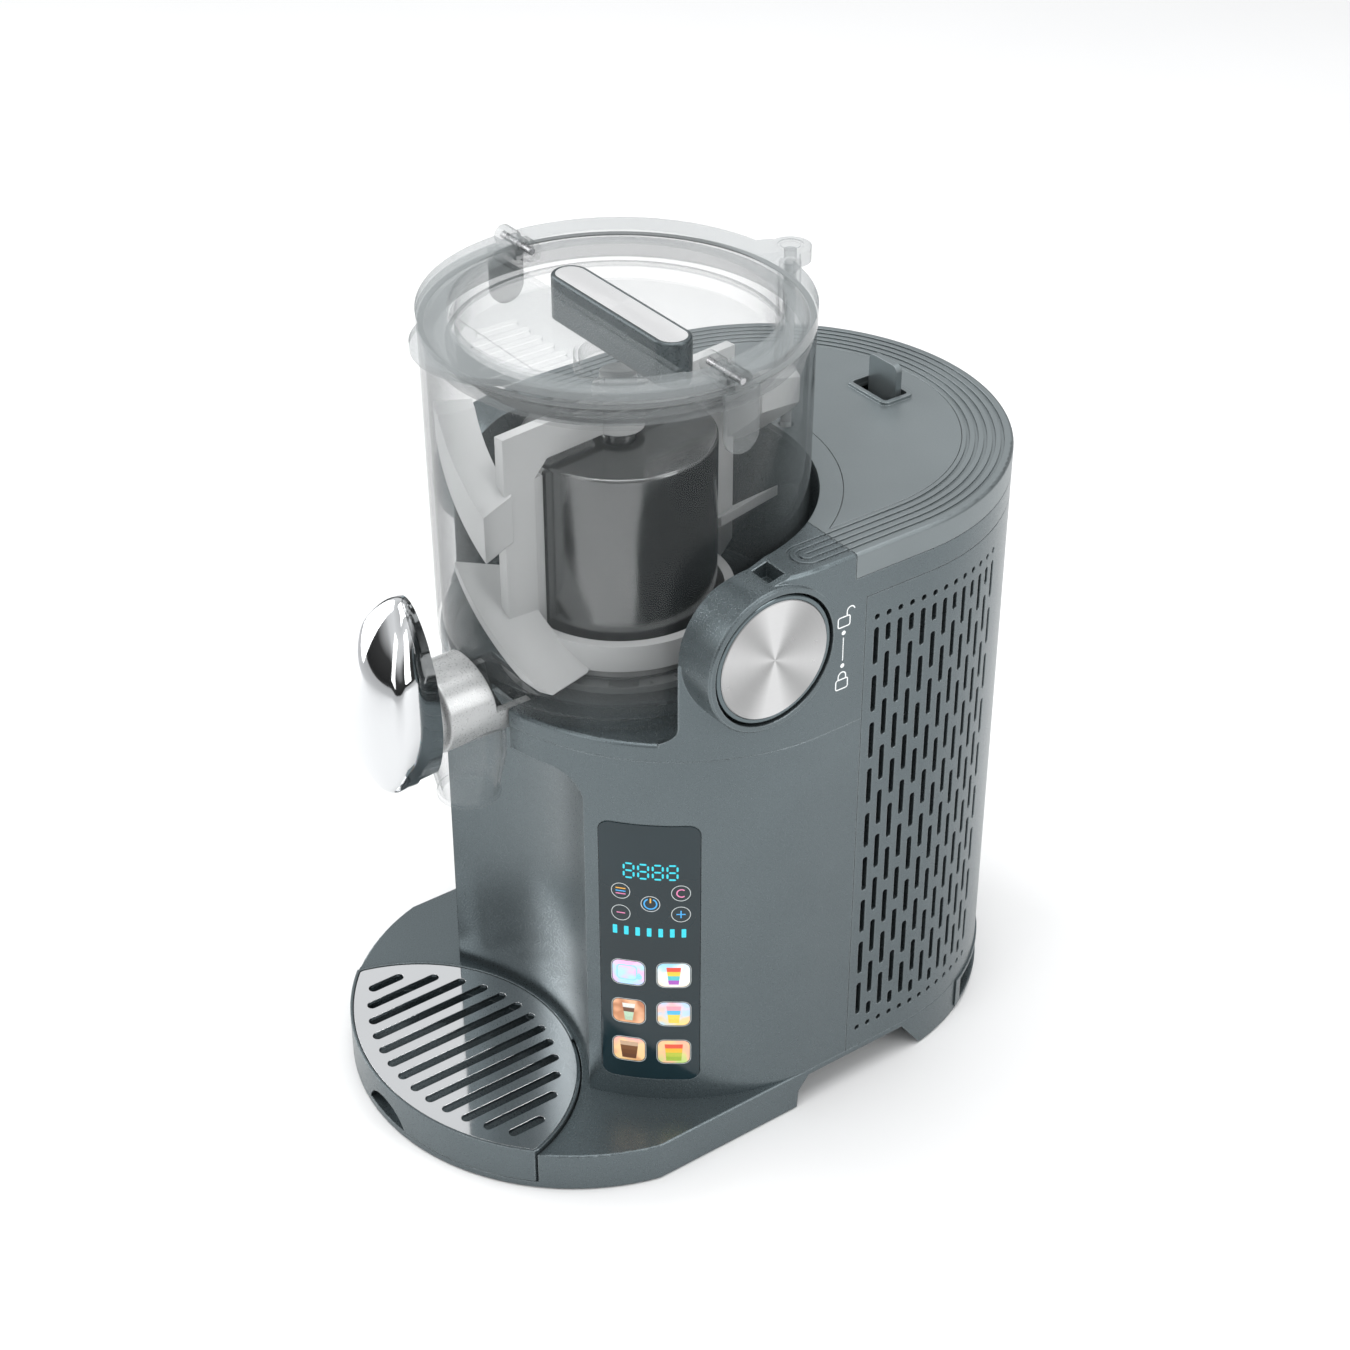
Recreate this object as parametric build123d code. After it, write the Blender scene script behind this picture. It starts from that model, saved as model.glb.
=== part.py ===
from build123d import *
import os
from math import asin, cos, degrees, pi, radians, sin, sqrt

# A counter-top slushie machine. All sizes are in millimetres. The pieces are drawn about the
# bowl's upright axis (x = 0, y = 0), with the front towards -Y, the floor at z = 0 and +Z up.
# save() then moves everything along Y, so that the origin is the centre of the footprint.

# Body
BODY_R = 100.0            # half width of the body, and the radius of its round ends
BODY_TOP = 277.4
FRONT_ROUND_Y = 28.5      # centre of the front round, behind the bowl's axis
REAR_ROUND_Y = 79.3       # centre of the rear round
WALL = 2.8                # wall of the moulded housings
BASE_TOP = 19.2           # top of the base, on which the column stands
SEAM_Z = BODY_TOP - 79.4  # seam between the lower housing and the upper cradle
DECK_Z = SEAM_Z + 8.0     # deck that the bowl stands on
SHELL_TOP = BODY_TOP - 21.4
COVER_SKIRT = 11.4        # how far the top cover's skirt comes down
COVER_SEAM_Y = 42.0       # seam across the arms, where the cover starts
ARM_FRONT_Y = -36.0
ARM_SOLID_Y = 36.5
SHELL_SEAM_Y = 48.0       # front edge of the vented rear shell
PART_GAP = 0.3            # gap between neighbouring mouldings
EDGE_R = 1.6              # rounding of the outer edges of the housings
HOUSING_FRONT_Y = FRONT_ROUND_Y - BODY_R
BEYOND = BODY_R + 25.0    # half width of the cutters that take in the whole body

# Bowl
BOWL_R = BODY_R - 22.1    # outside, at the top
BOWL_TAPER = 1.4          # how much smaller the outside is at the floor
BOWL_WALL = 2.4
BOWL_FLOOR_Z = DECK_Z + 6.0
BOWL_TOP = BODY_TOP + 74.2
BOWL_FOOT_Z = DECK_Z + 0.4
WELL_R = BOWL_R + 3.0     # well of the body round the bowl
CUTOUT_HALF_W = BOWL_R + 3.1
EAR_Y = BOWL_R + 7.7      # interlock rod behind the bowl
ROD_R = 2.3
ROD_HOLE_R = ROD_R + 1.1  # hole for the rod in the body
SLEEVE_Z = BODY_TOP + 3.0

# Drum and drive
DRUM_R = 40.0
DRUM_TOP = BODY_TOP + 23.6
DRUM_WALL = 1.6
DRUM_FOOT_Z = DECK_Z + 9.0
FLANGE_R = DRUM_R + 4.4
COLLAR_R = DRUM_R + 5.2   # bore of the collar in the bowl's floor
SHAFT_R = 4.0
SHAFT_TOP = DRUM_TOP + 21.0
GEARBOX_TOP = SEAM_Z
GEARBOX_R = 33.0
GEARBOX_H = 28.0
MOTOR_R = 27.0
MOTOR_H = 58.0
MOTOR_RIBS = 12
COIL_TURNS = 9
COIL_WIRE_R = 3.0

# Dasher
HUB_R = 10.5
ARM_T = 4.8               # thickness of the arms and uprights
ARM_TOP = DRUM_TOP + 19.0
ARM_LOW = DRUM_TOP + 3.5
UPRIGHT_R = DRUM_R + 5.5
BLADE_R = BOWL_R - 4.7
ARM_R = (UPRIGHT_R + BLADE_R) / 2 + 1.65
RING_LOW = BOWL_FLOOR_Z + 5.2
RING_HIGH = RING_LOW + 12.0
ARM_ANGLE = -84.0

# Base and drip tray
BASE_ARC_R = BODY_R + 3.7  # front of the base
BASE_ARC_Y = -25.5
BASE_CLEAR = 0.8          # underside of the base above the floor
BASE_FLOOR_T = 2.4
FOOT_R = 8.0
FEET = [(-80, -40), (80, -40), (-46, 138), (46, 138)]
INNER_SCREWS = [(-84, -22), (84, -22), (-62, 128), (62, 128)]
TUNNEL_TOP = 16.5
# Side view, as y and z, of the gap under the body between the front of the base and the rear foot
TUNNEL = [(21.0, -2.0), (22.0, 10.0), (27.5, TUNNEL_TOP), (80.8, TUNNEL_TOP), (94.5, -2.0)]
TRAY_ARC_R = 76.0         # back edge of the lens-shaped tray
TRAY_ARC_Y = -117.5
TRAY_HALF_W = 73.0
TRAY_TOP = 21.2
TRAY_WALL = 2.2
TRAY_FLOOR_Z = 3.9
TRAY_CLEAR = 0.6          # gap between the tray and its pocket
SCOOP_R = 15.0            # finger scoop in the front of the tray
SCOOP_DEPTH = 4.5
SCOOP_Z = TRAY_FLOOR_Z - 5.0
GRILLE_T = 1.6
SLOT_COUNT = 13
SLOT_W = 4.6

# Recess in the rear foot
RECESS_END = 25.0         # degrees from +X at which the rear recess ends
RECESS_DEPTH = 11.0
RECESS_LOW = 4.4
RECESS_HIGH = 16.0
FRAME_W = 1.8             # width of the frame round the recess
FRAME_DEPTH = 2.4
FRAME_PROUD = 0.8         # how far the frame stands out
GLAND_X = -45.0
GLAND_Z = 10.2
GLAND_R = 5.2
GLAND_BORE_R = 3.4

# Cup niche
NICHE_HALF_W = 52.6
NICHE_R = 90.0
NICHE_BACK_Y = -39.5
NICHE_TOP = SEAM_Z - 11.0
NICHE_CORNER_R = 14.0

# Spout, valve and lever
BORE_R = 12.0
BARREL_R = BORE_R + 6.8
BARREL_Z = DECK_Z - 0.8
BARREL_FRONT_Y = HOUSING_FRONT_Y - 24.5
CHANNEL_BACK_Y = -FLANGE_R - 7.6
SPOUT_R = BARREL_R - 3.6  # spout tube of the bowl, inside the barrel
NECK_R = BORE_R + 3.6
NECK_FRONT_Y = BARREL_FRONT_Y - 16.0
NOZZLE_Y = HOUSING_FRONT_Y - 6.5
NOZZLE_R = 12.6
NOZZLE_Z = BARREL_Z - 48.2
NOZZLE_WALL = 1.6
OUTLET_R = 6.0            # hole from the bore down into the nozzle
PISTON_Y0 = NOZZLE_Y - 14.0
PISTON_Y1 = NOZZLE_Y + 2.5
RING_Y0 = PISTON_Y1 - 3.9
RING_Y1 = PISTON_Y1 - 2.1
RING_DEPTH = 2.2
ROD_END_R = 2.8           # rod of the piston
PIVOT_Y = BARREL_FRONT_Y - 11.0
PIN_R = 3.0
PIN_REACH = NECK_R + 5.4
LEVER_HALF_W = PIN_REACH + 2.0
LEVER_MID = BARREL_Z + 5.3  # height at which the lever is widest
LEVER_UP = 50.5           # reach of the lever above and below that height
LEVER_DOWN = 35.0
LEVER_UPPER = [(1.0, 0.0), (0.905, 0.39), (0.778, 0.58), (0.58, 0.78), (0.28, 0.95), (0.0, 1.0)]
LEVER_LOWER = [(1.0, 0.0), (0.917, 0.4), (0.714, 0.7), (0.436, 0.9), (0.0, 1.0)]
LEVER_FRONT_Y = BARREL_FRONT_Y - 32.4
LEVER_BACK_Y = BARREL_FRONT_Y - 6.0
LEVER_WALL = 2.4
LEVER_TALL_R = 72.0
LEVER_ACROSS_R = 37.0

# Bowl locks
KNOB_Y = 2.8
KNOB_Z = BODY_TOP - 33.9
BOSS_R = 31.9
BOSS_BORE_R = 29.0
KNOB_R = BOSS_BORE_R - 1.0
DISC_R = KNOB_R - 2.1
STEM_R = 5.22
SQUARE = 2.0              # half width of the stem's square end
NOTCH_X = BODY_R - 11.5   # latch window in the top of each arm
NOTCH_HALF_W = 5.5

# Lid
LID_TOP = BOWL_TOP + 7.2
LID_SEAT = BOWL_TOP + 1.0
FLANGE_T = 3.0
FLAP_LOW = LID_TOP - FLANGE_T
LID_R = BOWL_R + 0.4
LID_INNER_R = BOWL_R - 12.6
PAN_Z = BOWL_TOP - 13.1   # top of the recessed pan
PAN_T = 2.0
STRAINER_PITCH = 8.6
STRAINER_SLOT_W = 4.2
CHORD_Y = -14.5           # straight rear edge of the flap
HINGE_Z = LID_TOP - 1.8
HINGE_IN = LID_INNER_R - 6.3
HINGE_OUT = LID_R + 2.7
HINGE_STEP = (HINGE_OUT - HINGE_IN) / 3
HINGE_R = 4.3
HINGE_GAP = 0.2           # half the gap between neighbouring knuckles
FLAP_KNUCKLE_R = 3.2
HINGE_FLOOR = HINGE_Z - FLAP_KNUCKLE_R - 0.5
HINGE_PIN_R = 1.5
BAR_LENGTH = 84.0
BAR_WIDTH = 16.0
BAR_TOP = LID_TOP - 1.8
BAR_Y = 1.5
BAR_RIM = 1.7
CLIP_Z = BOWL_TOP - 7.6

# Control panel
PANEL_FROM = 35.3         # degrees round from the front, towards the right
PANEL_TO = 59.6
PANEL_BOTTOM = 30.5
PANEL_TOP = 166.5

# Vents
VENT_COLUMNS = 13
VENT_PITCH = 6.1
VENT_START_Y = 54.0
VENT_SLOT_W = 2.7
VENT_SLOT_L = 17.7
VENT_PERIOD = 23.0
VENT_LOW = 30.0
VENT_HIGH = SHELL_TOP - 11.5

# Top of the body
DECK_R = BODY_R - 21.5
DECK_PANEL_T = 1.2
GROOVE_R = BODY_R - 11.8
GROOVE_LOOP_Y = 26.4
GROOVE_OFFSETS = (0.0, 3.6, 7.2)
GROOVE_HALF_W = 0.7
GROOVE_DEPTH = 0.9
TAB_Y = REAR_ROUND_Y + 58.7
TAB_T = 3.0
TAB_SLOT_HALF_X = 11.2
TAB_SLOT_Y0 = TAB_Y - 7.5
TAB_SLOT_Y1 = TAB_Y + 5.1

# Inside the body
FAN_Y = REAR_ROUND_Y + 44.7
FAN_Z = 94.0
FAN_R = 43.0
FAN_HALF = 52.0
FAN_BLADES = 7
FAN_PIN_R = 2.0
CONDENSER_Y = FAN_Y + 13.0
CONDENSER_T = 16.0
CONDENSER_HALF_W = 52.0
CONDENSER_LOW = 40.0
CONDENSER_HIGH = 150.0
FIN_PITCH = 5.6
FIN_GAP = 2.6
COMPRESSOR_R = 38.0
COMPRESSOR_Y = 62.0
COMPRESSOR_H = 48.0
MOUNT_X = 40.0
MOUNT_DY = 16.0
MOUNT_R = 5.5
MOUNT_H = 4.0
BOARD_Y = WELL_R + 15.1   # front face of the mainboard
BOARD_T = 2.0
BOARD_LOW = 165.0
SWITCH_TOP = BODY_TOP - 19.4

FRONT_Y = BASE_ARC_Y - BASE_ARC_R
REAR_Y = REAR_ROUND_Y + BODY_R
CENTRE_Y = (FRONT_Y + REAR_Y + FRAME_PROUD) / 2


def save(shape, name):
    """Write one node, with the origin at the centre of the footprint."""
    solids = shape.solids()
    moved = [Pos(0, -CENTRE_Y, 0) * solid for solid in solids]
    result = moved[0] if len(moved) == 1 else Compound(children=moved)
    result.label = name
    export_step(result, "parts/" + name + ".step")


def prism(sketch, low, high):
    """A flat outline raised from z = low to z = high."""
    return extrude(Pos(0, 0, low) * sketch, amount=high - low)


def block(x0, x1, y0, y1, z0, z1):
    centre = Pos((x0 + x1) / 2, (y0 + y1) / 2, (z0 + z1) / 2)
    return centre * Box(x1 - x0, y1 - y0, z1 - z0)


def disc(radius, low, high, x=0, y=0):
    """An upright cylinder from z = low to z = high."""
    return Pos(x, y, (low + high) / 2) * Cylinder(radius, high - low)


def tube(outer, inner, low, high, x=0, y=0):
    return disc(outer, low, high, x, y) - disc(inner, low - 1, high + 1, x, y)


def rod_x(radius, x0, x1, y, z):
    """A cylinder along X."""
    return Pos((x0 + x1) / 2, y, z) * Rot(0, 90, 0) * Cylinder(radius, abs(x1 - x0))


def rod_y(radius, y0, y1, x, z):
    """A cylinder along Y."""
    return Pos(x, (y0 + y1) / 2, z) * Rot(90, 0, 0) * Cylinder(radius, abs(y1 - y0))


def front_face(outline, y0, y1):
    """An outline drawn in x and z, extruded along Y from y0 to y1."""
    return extrude(Plane.XZ.offset(-y1) * outline, amount=y1 - y0)


def side_face(outline, half_width):
    """An outline drawn in y and z, extruded along X to both sides."""
    return extrude(Plane.YZ * outline, amount=half_width, both=True)


def stadium(inset=0.0):
    """The body's outline in plan."""
    radius = BODY_R - inset
    middle = (FRONT_ROUND_Y + REAR_ROUND_Y) / 2
    sides = Pos(0, middle) * Rectangle(2 * radius, REAR_ROUND_Y - FRONT_ROUND_Y)
    return sides + Pos(0, FRONT_ROUND_Y) * Circle(radius) + Pos(0, REAR_ROUND_Y) * Circle(radius)


def base_front(inset=0.0):
    """The part of the base that stands out in front of the body, in plan."""
    nose = Pos(0, BASE_ARC_Y) * Circle(BASE_ARC_R - inset)
    strip_front = FRONT_Y - 10
    width = 2 * (BODY_R - inset)
    strip = Pos(0, (strip_front + BASE_ARC_Y) / 2) * Rectangle(width, BASE_ARC_Y - strip_front)
    sides = Pos(0, (BASE_ARC_Y + FRONT_ROUND_Y) / 2) * Rectangle(width, FRONT_ROUND_Y - BASE_ARC_Y)
    return (nose & strip) + sides


def lens(inset=0.0):
    """The drip tray in plan."""
    front = Pos(0, BASE_ARC_Y) * Circle(BASE_ARC_R - inset)
    back = Pos(0, TRAY_ARC_Y) * Circle(TRAY_ARC_R - inset)
    width = Pos(0, TRAY_ARC_Y) * Rectangle(2 * (TRAY_HALF_W - inset), 4 * TRAY_ARC_R)
    return front & back & width


def recess_sector(r_in, r_out, low, high):
    """A band round the rear, between the two ends of the rear recess."""
    ring = tube(r_out, r_in, low, high, 0, REAR_ROUND_Y)
    half = (BODY_R + 10) * cos(radians(RECESS_END))
    start = REAR_ROUND_Y + (BODY_R - 3) * sin(radians(RECESS_END))
    return ring & block(-half, half, start, REAR_Y + 10, low - 1, high + 1)


def base():
    """Front base and rear foot, one shell that is open underneath."""
    outer = prism(base_front() + stadium(), BASE_CLEAR, BASE_TOP)
    outer = fillet(outer.edges().group_by(Axis.Z)[-1], 0.5 * EDGE_R)
    outer -= side_face(make_face(Polyline(*TUNNEL, close=True)), BODY_R + 5)
    front = prism(base_front(WALL), -1, BASE_TOP - WALL)
    front &= block(-BODY_R, BODY_R, FRONT_Y, TUNNEL[0][0] - WALL, -1, BASE_TOP)
    rear = disc(BODY_R - RECESS_DEPTH - WALL, -1, TUNNEL_TOP - WALL, 0, REAR_ROUND_Y)
    rear &= block(-BODY_R, BODY_R, TUNNEL[4][0] + WALL, REAR_Y, -1, BASE_TOP)
    body = outer - front - rear
    pocket_r = TRAY_ARC_R + TRAY_CLEAR
    pocket = disc(pocket_r, TRAY_FLOOR_Z - PART_GAP, BASE_TOP + 5, 0, TRAY_ARC_Y)
    tub = disc(pocket_r + WALL, BASE_CLEAR + BASE_FLOOR_T, BASE_TOP, 0, TRAY_ARC_Y)
    tub &= prism(base_front(), BASE_CLEAR, BASE_TOP)
    body = body + tub - pocket
    body -= recess_sector(BODY_R - RECESS_DEPTH, BODY_R + 5, RECESS_LOW, RECESS_HIGH)
    body -= recess_sector(BODY_R - FRAME_DEPTH, BODY_R + 5, RECESS_LOW - FRAME_W, RECESS_HIGH + FRAME_W)
    gland_y = REAR_ROUND_Y + sqrt((BODY_R - RECESS_DEPTH - WALL) ** 2 - GLAND_X ** 2)
    body -= rod_y(GLAND_R, gland_y - 20, gland_y + 12, GLAND_X, GLAND_Z)
    for x, y in INNER_SCREWS:
        body += disc(4.0, BASE_CLEAR + BASE_FLOOR_T, BASE_TOP - 1, x, y)
        body -= disc(1.6, 0, BASE_TOP - WALL - 3, x, y)
    return body


def plate_outline(front):
    """One of the two plates that close the base underneath."""
    if front:
        sheet = prism(base_front(WALL + PART_GAP), BASE_CLEAR + 0.2, BASE_CLEAR + BASE_FLOOR_T)
        return sheet & block(-BODY_R, BODY_R, FRONT_Y, TUNNEL[0][0] - WALL - PART_GAP, 0, 10)
    radius = BODY_R - RECESS_DEPTH - WALL - PART_GAP
    sheet = disc(radius, BASE_CLEAR + 0.2, BASE_CLEAR + BASE_FLOOR_T, 0, REAR_ROUND_Y)
    return sheet & block(-BODY_R, BODY_R, TUNNEL[4][0] + WALL + PART_GAP, REAR_Y, 0, 10)


def base_plate(front):
    plate = plate_outline(front)
    for x, y in INNER_SCREWS:
        plate -= disc(1.9, 0, 10, x, y)
        plate -= disc(3.3, 0, BASE_CLEAR + 1.0, x, y)
    return plate


def base_screws():
    screws = []
    for x, y in INNER_SCREWS:
        head = disc(3.0, BASE_CLEAR + 0.2, BASE_CLEAR + 1.0, x, y)
        shank = disc(1.55, BASE_CLEAR + 0.9, BASE_CLEAR + 9.0, x, y)
        slot = block(x - 2.2, x + 2.2, y - 0.4, y + 0.4, 0, BASE_CLEAR + 0.6)
        cross = block(x - 0.4, x + 0.4, y - 2.2, y + 2.2, 0, BASE_CLEAR + 0.6)
        screws.append(head + shank - slot - cross)
    return Compound(children=screws)


def rubber_feet():
    feet = []
    for x, y in FEET:
        foot = disc(FOOT_R, 0, BASE_CLEAR + 0.2, x, y)
        feet.append(chamfer(foot.edges().group_by(Axis.Z)[0], 0.3))
    return Compound(children=feet)


def rear_frame():
    """Trim frame round the recess in the rear foot."""
    outer = recess_sector(BODY_R - FRAME_DEPTH + 0.1, BODY_R + FRAME_PROUD, RECESS_LOW - FRAME_W + 0.1,
                          RECESS_HIGH + FRAME_W - 0.1)
    half = (BODY_R + 10) * cos(radians(RECESS_END)) - 2 * FRAME_W - 6
    hole = block(-half, half, REAR_ROUND_Y, REAR_Y + 10, RECESS_LOW, RECESS_HIGH)
    return outer - hole


def cord_gland():
    """Bush in the back wall of the rear recess, where the mains lead leaves."""
    wall_y = REAR_ROUND_Y + sqrt((BODY_R - RECESS_DEPTH) ** 2 - GLAND_X ** 2)
    bush = rod_y(GLAND_R - 0.05, wall_y - 9, wall_y + 4, GLAND_X, GLAND_Z)
    bush += rod_y(GLAND_R + 0.5, wall_y + 4, wall_y + 5.4, GLAND_X, GLAND_Z)
    return bush - rod_y(GLAND_BORE_R, wall_y - 20, wall_y + 20, GLAND_X, GLAND_Z)


def drip_tray():
    """Lens-shaped tray with a ledge for the grille, a finger scoop and a lifting notch."""
    ledge = TRAY_TOP - GRILLE_T - 0.6
    body = prism(lens(), TRAY_FLOOR_Z, TRAY_TOP)
    body -= prism(lens(TRAY_WALL), TRAY_FLOOR_Z + 2.0, ledge)
    body -= prism(lens(TRAY_WALL - 1.0), ledge, TRAY_TOP + 5)
    scoop = rod_y(SCOOP_R, FRONT_Y - 5, FRONT_Y + SCOOP_DEPTH, 0, SCOOP_Z)
    hood = rod_y(SCOOP_R + 2.0, FRONT_Y - 1, FRONT_Y + SCOOP_DEPTH + 2.1, 0, SCOOP_Z)
    body += hood & prism(lens(), TRAY_FLOOR_Z, ledge)
    notch = block(24, 48, TRAY_ARC_Y + 40, TRAY_ARC_Y + 80, TRAY_TOP - 2.4, TRAY_TOP + 2)
    return body - scoop - (notch - prism(lens(TRAY_WALL - 1.0), 0, 40))


def drip_grille():
    top = TRAY_TOP - 0.4
    plate = prism(lens(TRAY_WALL - 0.6), top - GRILLE_T, top)
    pitch = 2 * (TRAY_HALF_W - 15) / (SLOT_COUNT - 1)
    for i in range(SLOT_COUNT):
        x = (i - (SLOT_COUNT - 1) / 2) * pitch
        y_back = TRAY_ARC_Y + sqrt((TRAY_ARC_R - 9) ** 2 - x * x)
        y_front = BASE_ARC_Y - sqrt((BASE_ARC_R - 8) ** 2 - x * x)
        length = y_back - y_front
        slot = Pos(x, (y_back + y_front) / 2) * Rot(0, 0, 90) * SlotOverall(length, SLOT_W)
        plate -= prism(slot, top - 3, top + 1)
    return plate


def niche_cut(grow=0.0):
    """The space cut out of the front for a cup, larger all round by grow."""
    plan = Pos(0, NICHE_BACK_Y - NICHE_R) * Circle(NICHE_R + grow)
    top = NICHE_TOP + grow
    outline = Rectangle(2 * (NICHE_HALF_W + grow), top, align=(Align.CENTER, Align.MIN))
    corners = outline.vertices().group_by(Axis.Y)[-1]
    outline = fillet(corners, NICHE_CORNER_R + grow)
    return prism(plan, 0, NICHE_TOP + 20) & front_face(outline, HOUSING_FRONT_Y - 60, 0)


def channel_cut(low, high):
    """Open channel for the spout, through the front wall and the deck."""
    half = BARREL_R + 0.9
    return block(-half, half, HOUSING_FRONT_Y - 20, CHANNEL_BACK_Y, low, high)


def panel_prism(inset, r_in, r_out):
    """A curved plate on the front round, behind the panel's rounded outline."""
    middle = (PANEL_FROM + PANEL_TO) / 2
    half_angle = (PANEL_TO - PANEL_FROM) / 2
    width = 2 * BODY_R * sin(radians(half_angle)) - 2 * inset
    height = PANEL_TOP - PANEL_BOTTOM - 2 * inset
    outline = RectangleRounded(width, height, 5.0 - inset)
    plane = Plane(origin=(0, FRONT_ROUND_Y, (PANEL_TOP + PANEL_BOTTOM) / 2),
                  x_dir=(cos(radians(middle)), sin(radians(middle)), 0),
                  z_dir=(sin(radians(middle)), -cos(radians(middle)), 0))
    beam = extrude(plane * outline, amount=BODY_R + 10)
    ring = tube(r_out, r_in, PANEL_BOTTOM - 5, PANEL_TOP + 5, 0, FRONT_ROUND_Y)
    return ring & beam


def lower_housing():
    """Column: the front half of the body, with the cup niche, from the base to the seam."""
    low = BASE_TOP
    outer = prism(stadium(), low, SEAM_Z)
    cavity = prism(stadium(WALL), low - 1, SEAM_Z + 1) - niche_cut(WALL)
    body = outer - cavity - niche_cut()
    body -= block(-BODY_R - 5, BODY_R + 5, SHELL_SEAM_Y, REAR_Y + 5, low - 1, SEAM_Z + 1)
    body -= channel_cut(NICHE_TOP - 3, SEAM_Z + 1)
    body -= panel_prism(0, BODY_R - 1.7, BODY_R + 5)
    return body


def boss(side):
    """Round boss for one of the bowl locks."""
    body = rod_x(BOSS_R, side * (WELL_R - 1), side * BODY_R, KNOB_Y, KNOB_Z)
    rim = body.edges().filter_by(GeomType.CIRCLE).sort_by(Axis.X)[-1 if side > 0 else 0]
    return chamfer(rim, 0.8)


def arm_side():
    """Side view of the body above the seam: rear and arms."""
    points = [(ARM_FRONT_Y, SEAM_Z), (ARM_FRONT_Y, KNOB_Z),
              (KNOB_Y, KNOB_Z), (KNOB_Y, KNOB_Z + BOSS_R - 0.2), (KNOB_Y + 9, BODY_TOP),
              (REAR_Y + 5, BODY_TOP), (REAR_Y + 5, SEAM_Z)]
    return side_face(make_face(Polyline(*points, close=True)), BODY_R + 5)


def cradle_outside():
    """Outer form of the cradle, with the deck cut open at the front."""
    arms = prism(stadium(), SEAM_Z, BODY_TOP)
    arms = fillet(arms.edges().group_by(Axis.Z)[-1], EDGE_R)
    deck = prism(stadium(), SEAM_Z, DECK_Z)
    deck = fillet(deck.edges().group_by(Axis.Z)[-1], EDGE_R)
    body = (arms & arm_side()) + deck
    open_front = Rectangle(2 * CUTOUT_HALF_W, 100, align=(Align.CENTER, Align.MIN))
    open_front = fillet(open_front.vertices().group_by(Axis.Y)[0], 8.0)
    body -= front_face(Pos(0, DECK_Z) * open_front, HOUSING_FRONT_Y - 20, -8)
    return body + boss(1) + boss(-1)


def cradle_inside():
    """Hollow of the rear, outside the wall of the well. The arms in front of it are solid."""
    inside = prism(stadium(WALL), DECK_Z, BODY_TOP - WALL) - disc(WELL_R + WALL, SEAM_Z, BODY_TOP + 1)
    return inside & block(-BEYOND, BEYOND, ARM_SOLID_Y, REAR_Y, DECK_Z - 1, BODY_TOP)


def skin(low, high, start):
    """The outer wall of the body behind y = start, which the cover or the shell replaces."""
    wall = prism(stadium(-5), low, high) - prism(stadium(WALL), 0, BODY_TOP + 20)
    return wall & block(-BEYOND, BEYOND, start, REAR_Y + 5, 0, BODY_TOP + 20)


def lock_holes(side):
    """Bore for a knob, hole for its stem, room for its cam and the latch window above."""
    face = side * BODY_R
    cut = rod_x(BOSS_BORE_R, face - side * 11, face + side, KNOB_Y, KNOB_Z)
    cut += rod_x(STEM_R + 0.08, face - side * 16, face, KNOB_Y, KNOB_Z)
    cut += rod_x(15.0, side * (WELL_R + WALL), face - side * 13, KNOB_Y, KNOB_Z)
    x = side * NOTCH_X
    return cut + block(x - NOTCH_HALF_W, x + NOTCH_HALF_W, 3.5, 11.0, BODY_TOP - 7, BODY_TOP + 5)


def upper_cradle():
    """The body above the seam: deck, well round the bowl, arms and bosses."""
    body = cradle_outside() - cradle_inside()
    body -= prism(stadium(WALL), SEAM_Z - 1, DECK_Z - WALL)
    body -= disc(WELL_R, DECK_Z, BODY_TOP + 5)
    body -= skin(SEAM_Z - 1, SHELL_TOP, SHELL_SEAM_Y)
    body -= skin(BODY_TOP - COVER_SKIRT, BODY_TOP + 5, COVER_SEAM_Y)
    body -= block(-BEYOND, BEYOND, COVER_SEAM_Y, REAR_Y + 5, BODY_TOP - WALL, BODY_TOP + 5)
    body -= channel_cut(SEAM_Z - 1, DECK_Z + 1)
    body -= disc(FLANGE_R + 0.1, SEAM_Z, DECK_Z + 1)
    body -= lock_holes(1) + lock_holes(-1)
    body -= disc(ROD_HOLE_R, DECK_Z + 1, BODY_TOP + 1, 0, EAR_Y)
    behind = prism(stadium(WALL), SEAM_Z - 1, DECK_Z + 1) - disc(WELL_R + WALL, SEAM_Z - 2, DECK_Z + 2)
    body -= behind & block(-BODY_R, BODY_R, SHELL_SEAM_Y - 3, REAR_Y, SEAM_Z - 2, DECK_Z + 2)
    return body - grooves()


def grooves():
    """Nested grooves in the top, which run round the rear and loop back on both arms."""
    low = BODY_TOP - GROOVE_DEPTH
    high = BODY_TOP + 3
    half = GROOVE_HALF_W
    cuts = []
    for offset in GROOVE_OFFSETS:
        for radius in {GROOVE_R - offset, GROOVE_R + offset}:
            ring = tube(radius + half, radius - half, low, high, 0, REAR_ROUND_Y)
            cuts.append(ring & block(-BODY_R, BODY_R, REAR_ROUND_Y, REAR_Y, low - 1, high + 1))
            for x in (-radius, radius):
                cuts.append(block(x - half, x + half, GROOVE_LOOP_Y, REAR_ROUND_Y, low, high))
        if offset:
            for x in (-GROOVE_R, GROOVE_R):
                loop = tube(offset + half, offset - half, low, high, x, GROOVE_LOOP_Y)
                cuts.append(loop & block(-BODY_R, BODY_R, 0, GROOVE_LOOP_Y, low - 1, high + 1))
    return cuts[0] + cuts[1:]


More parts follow.
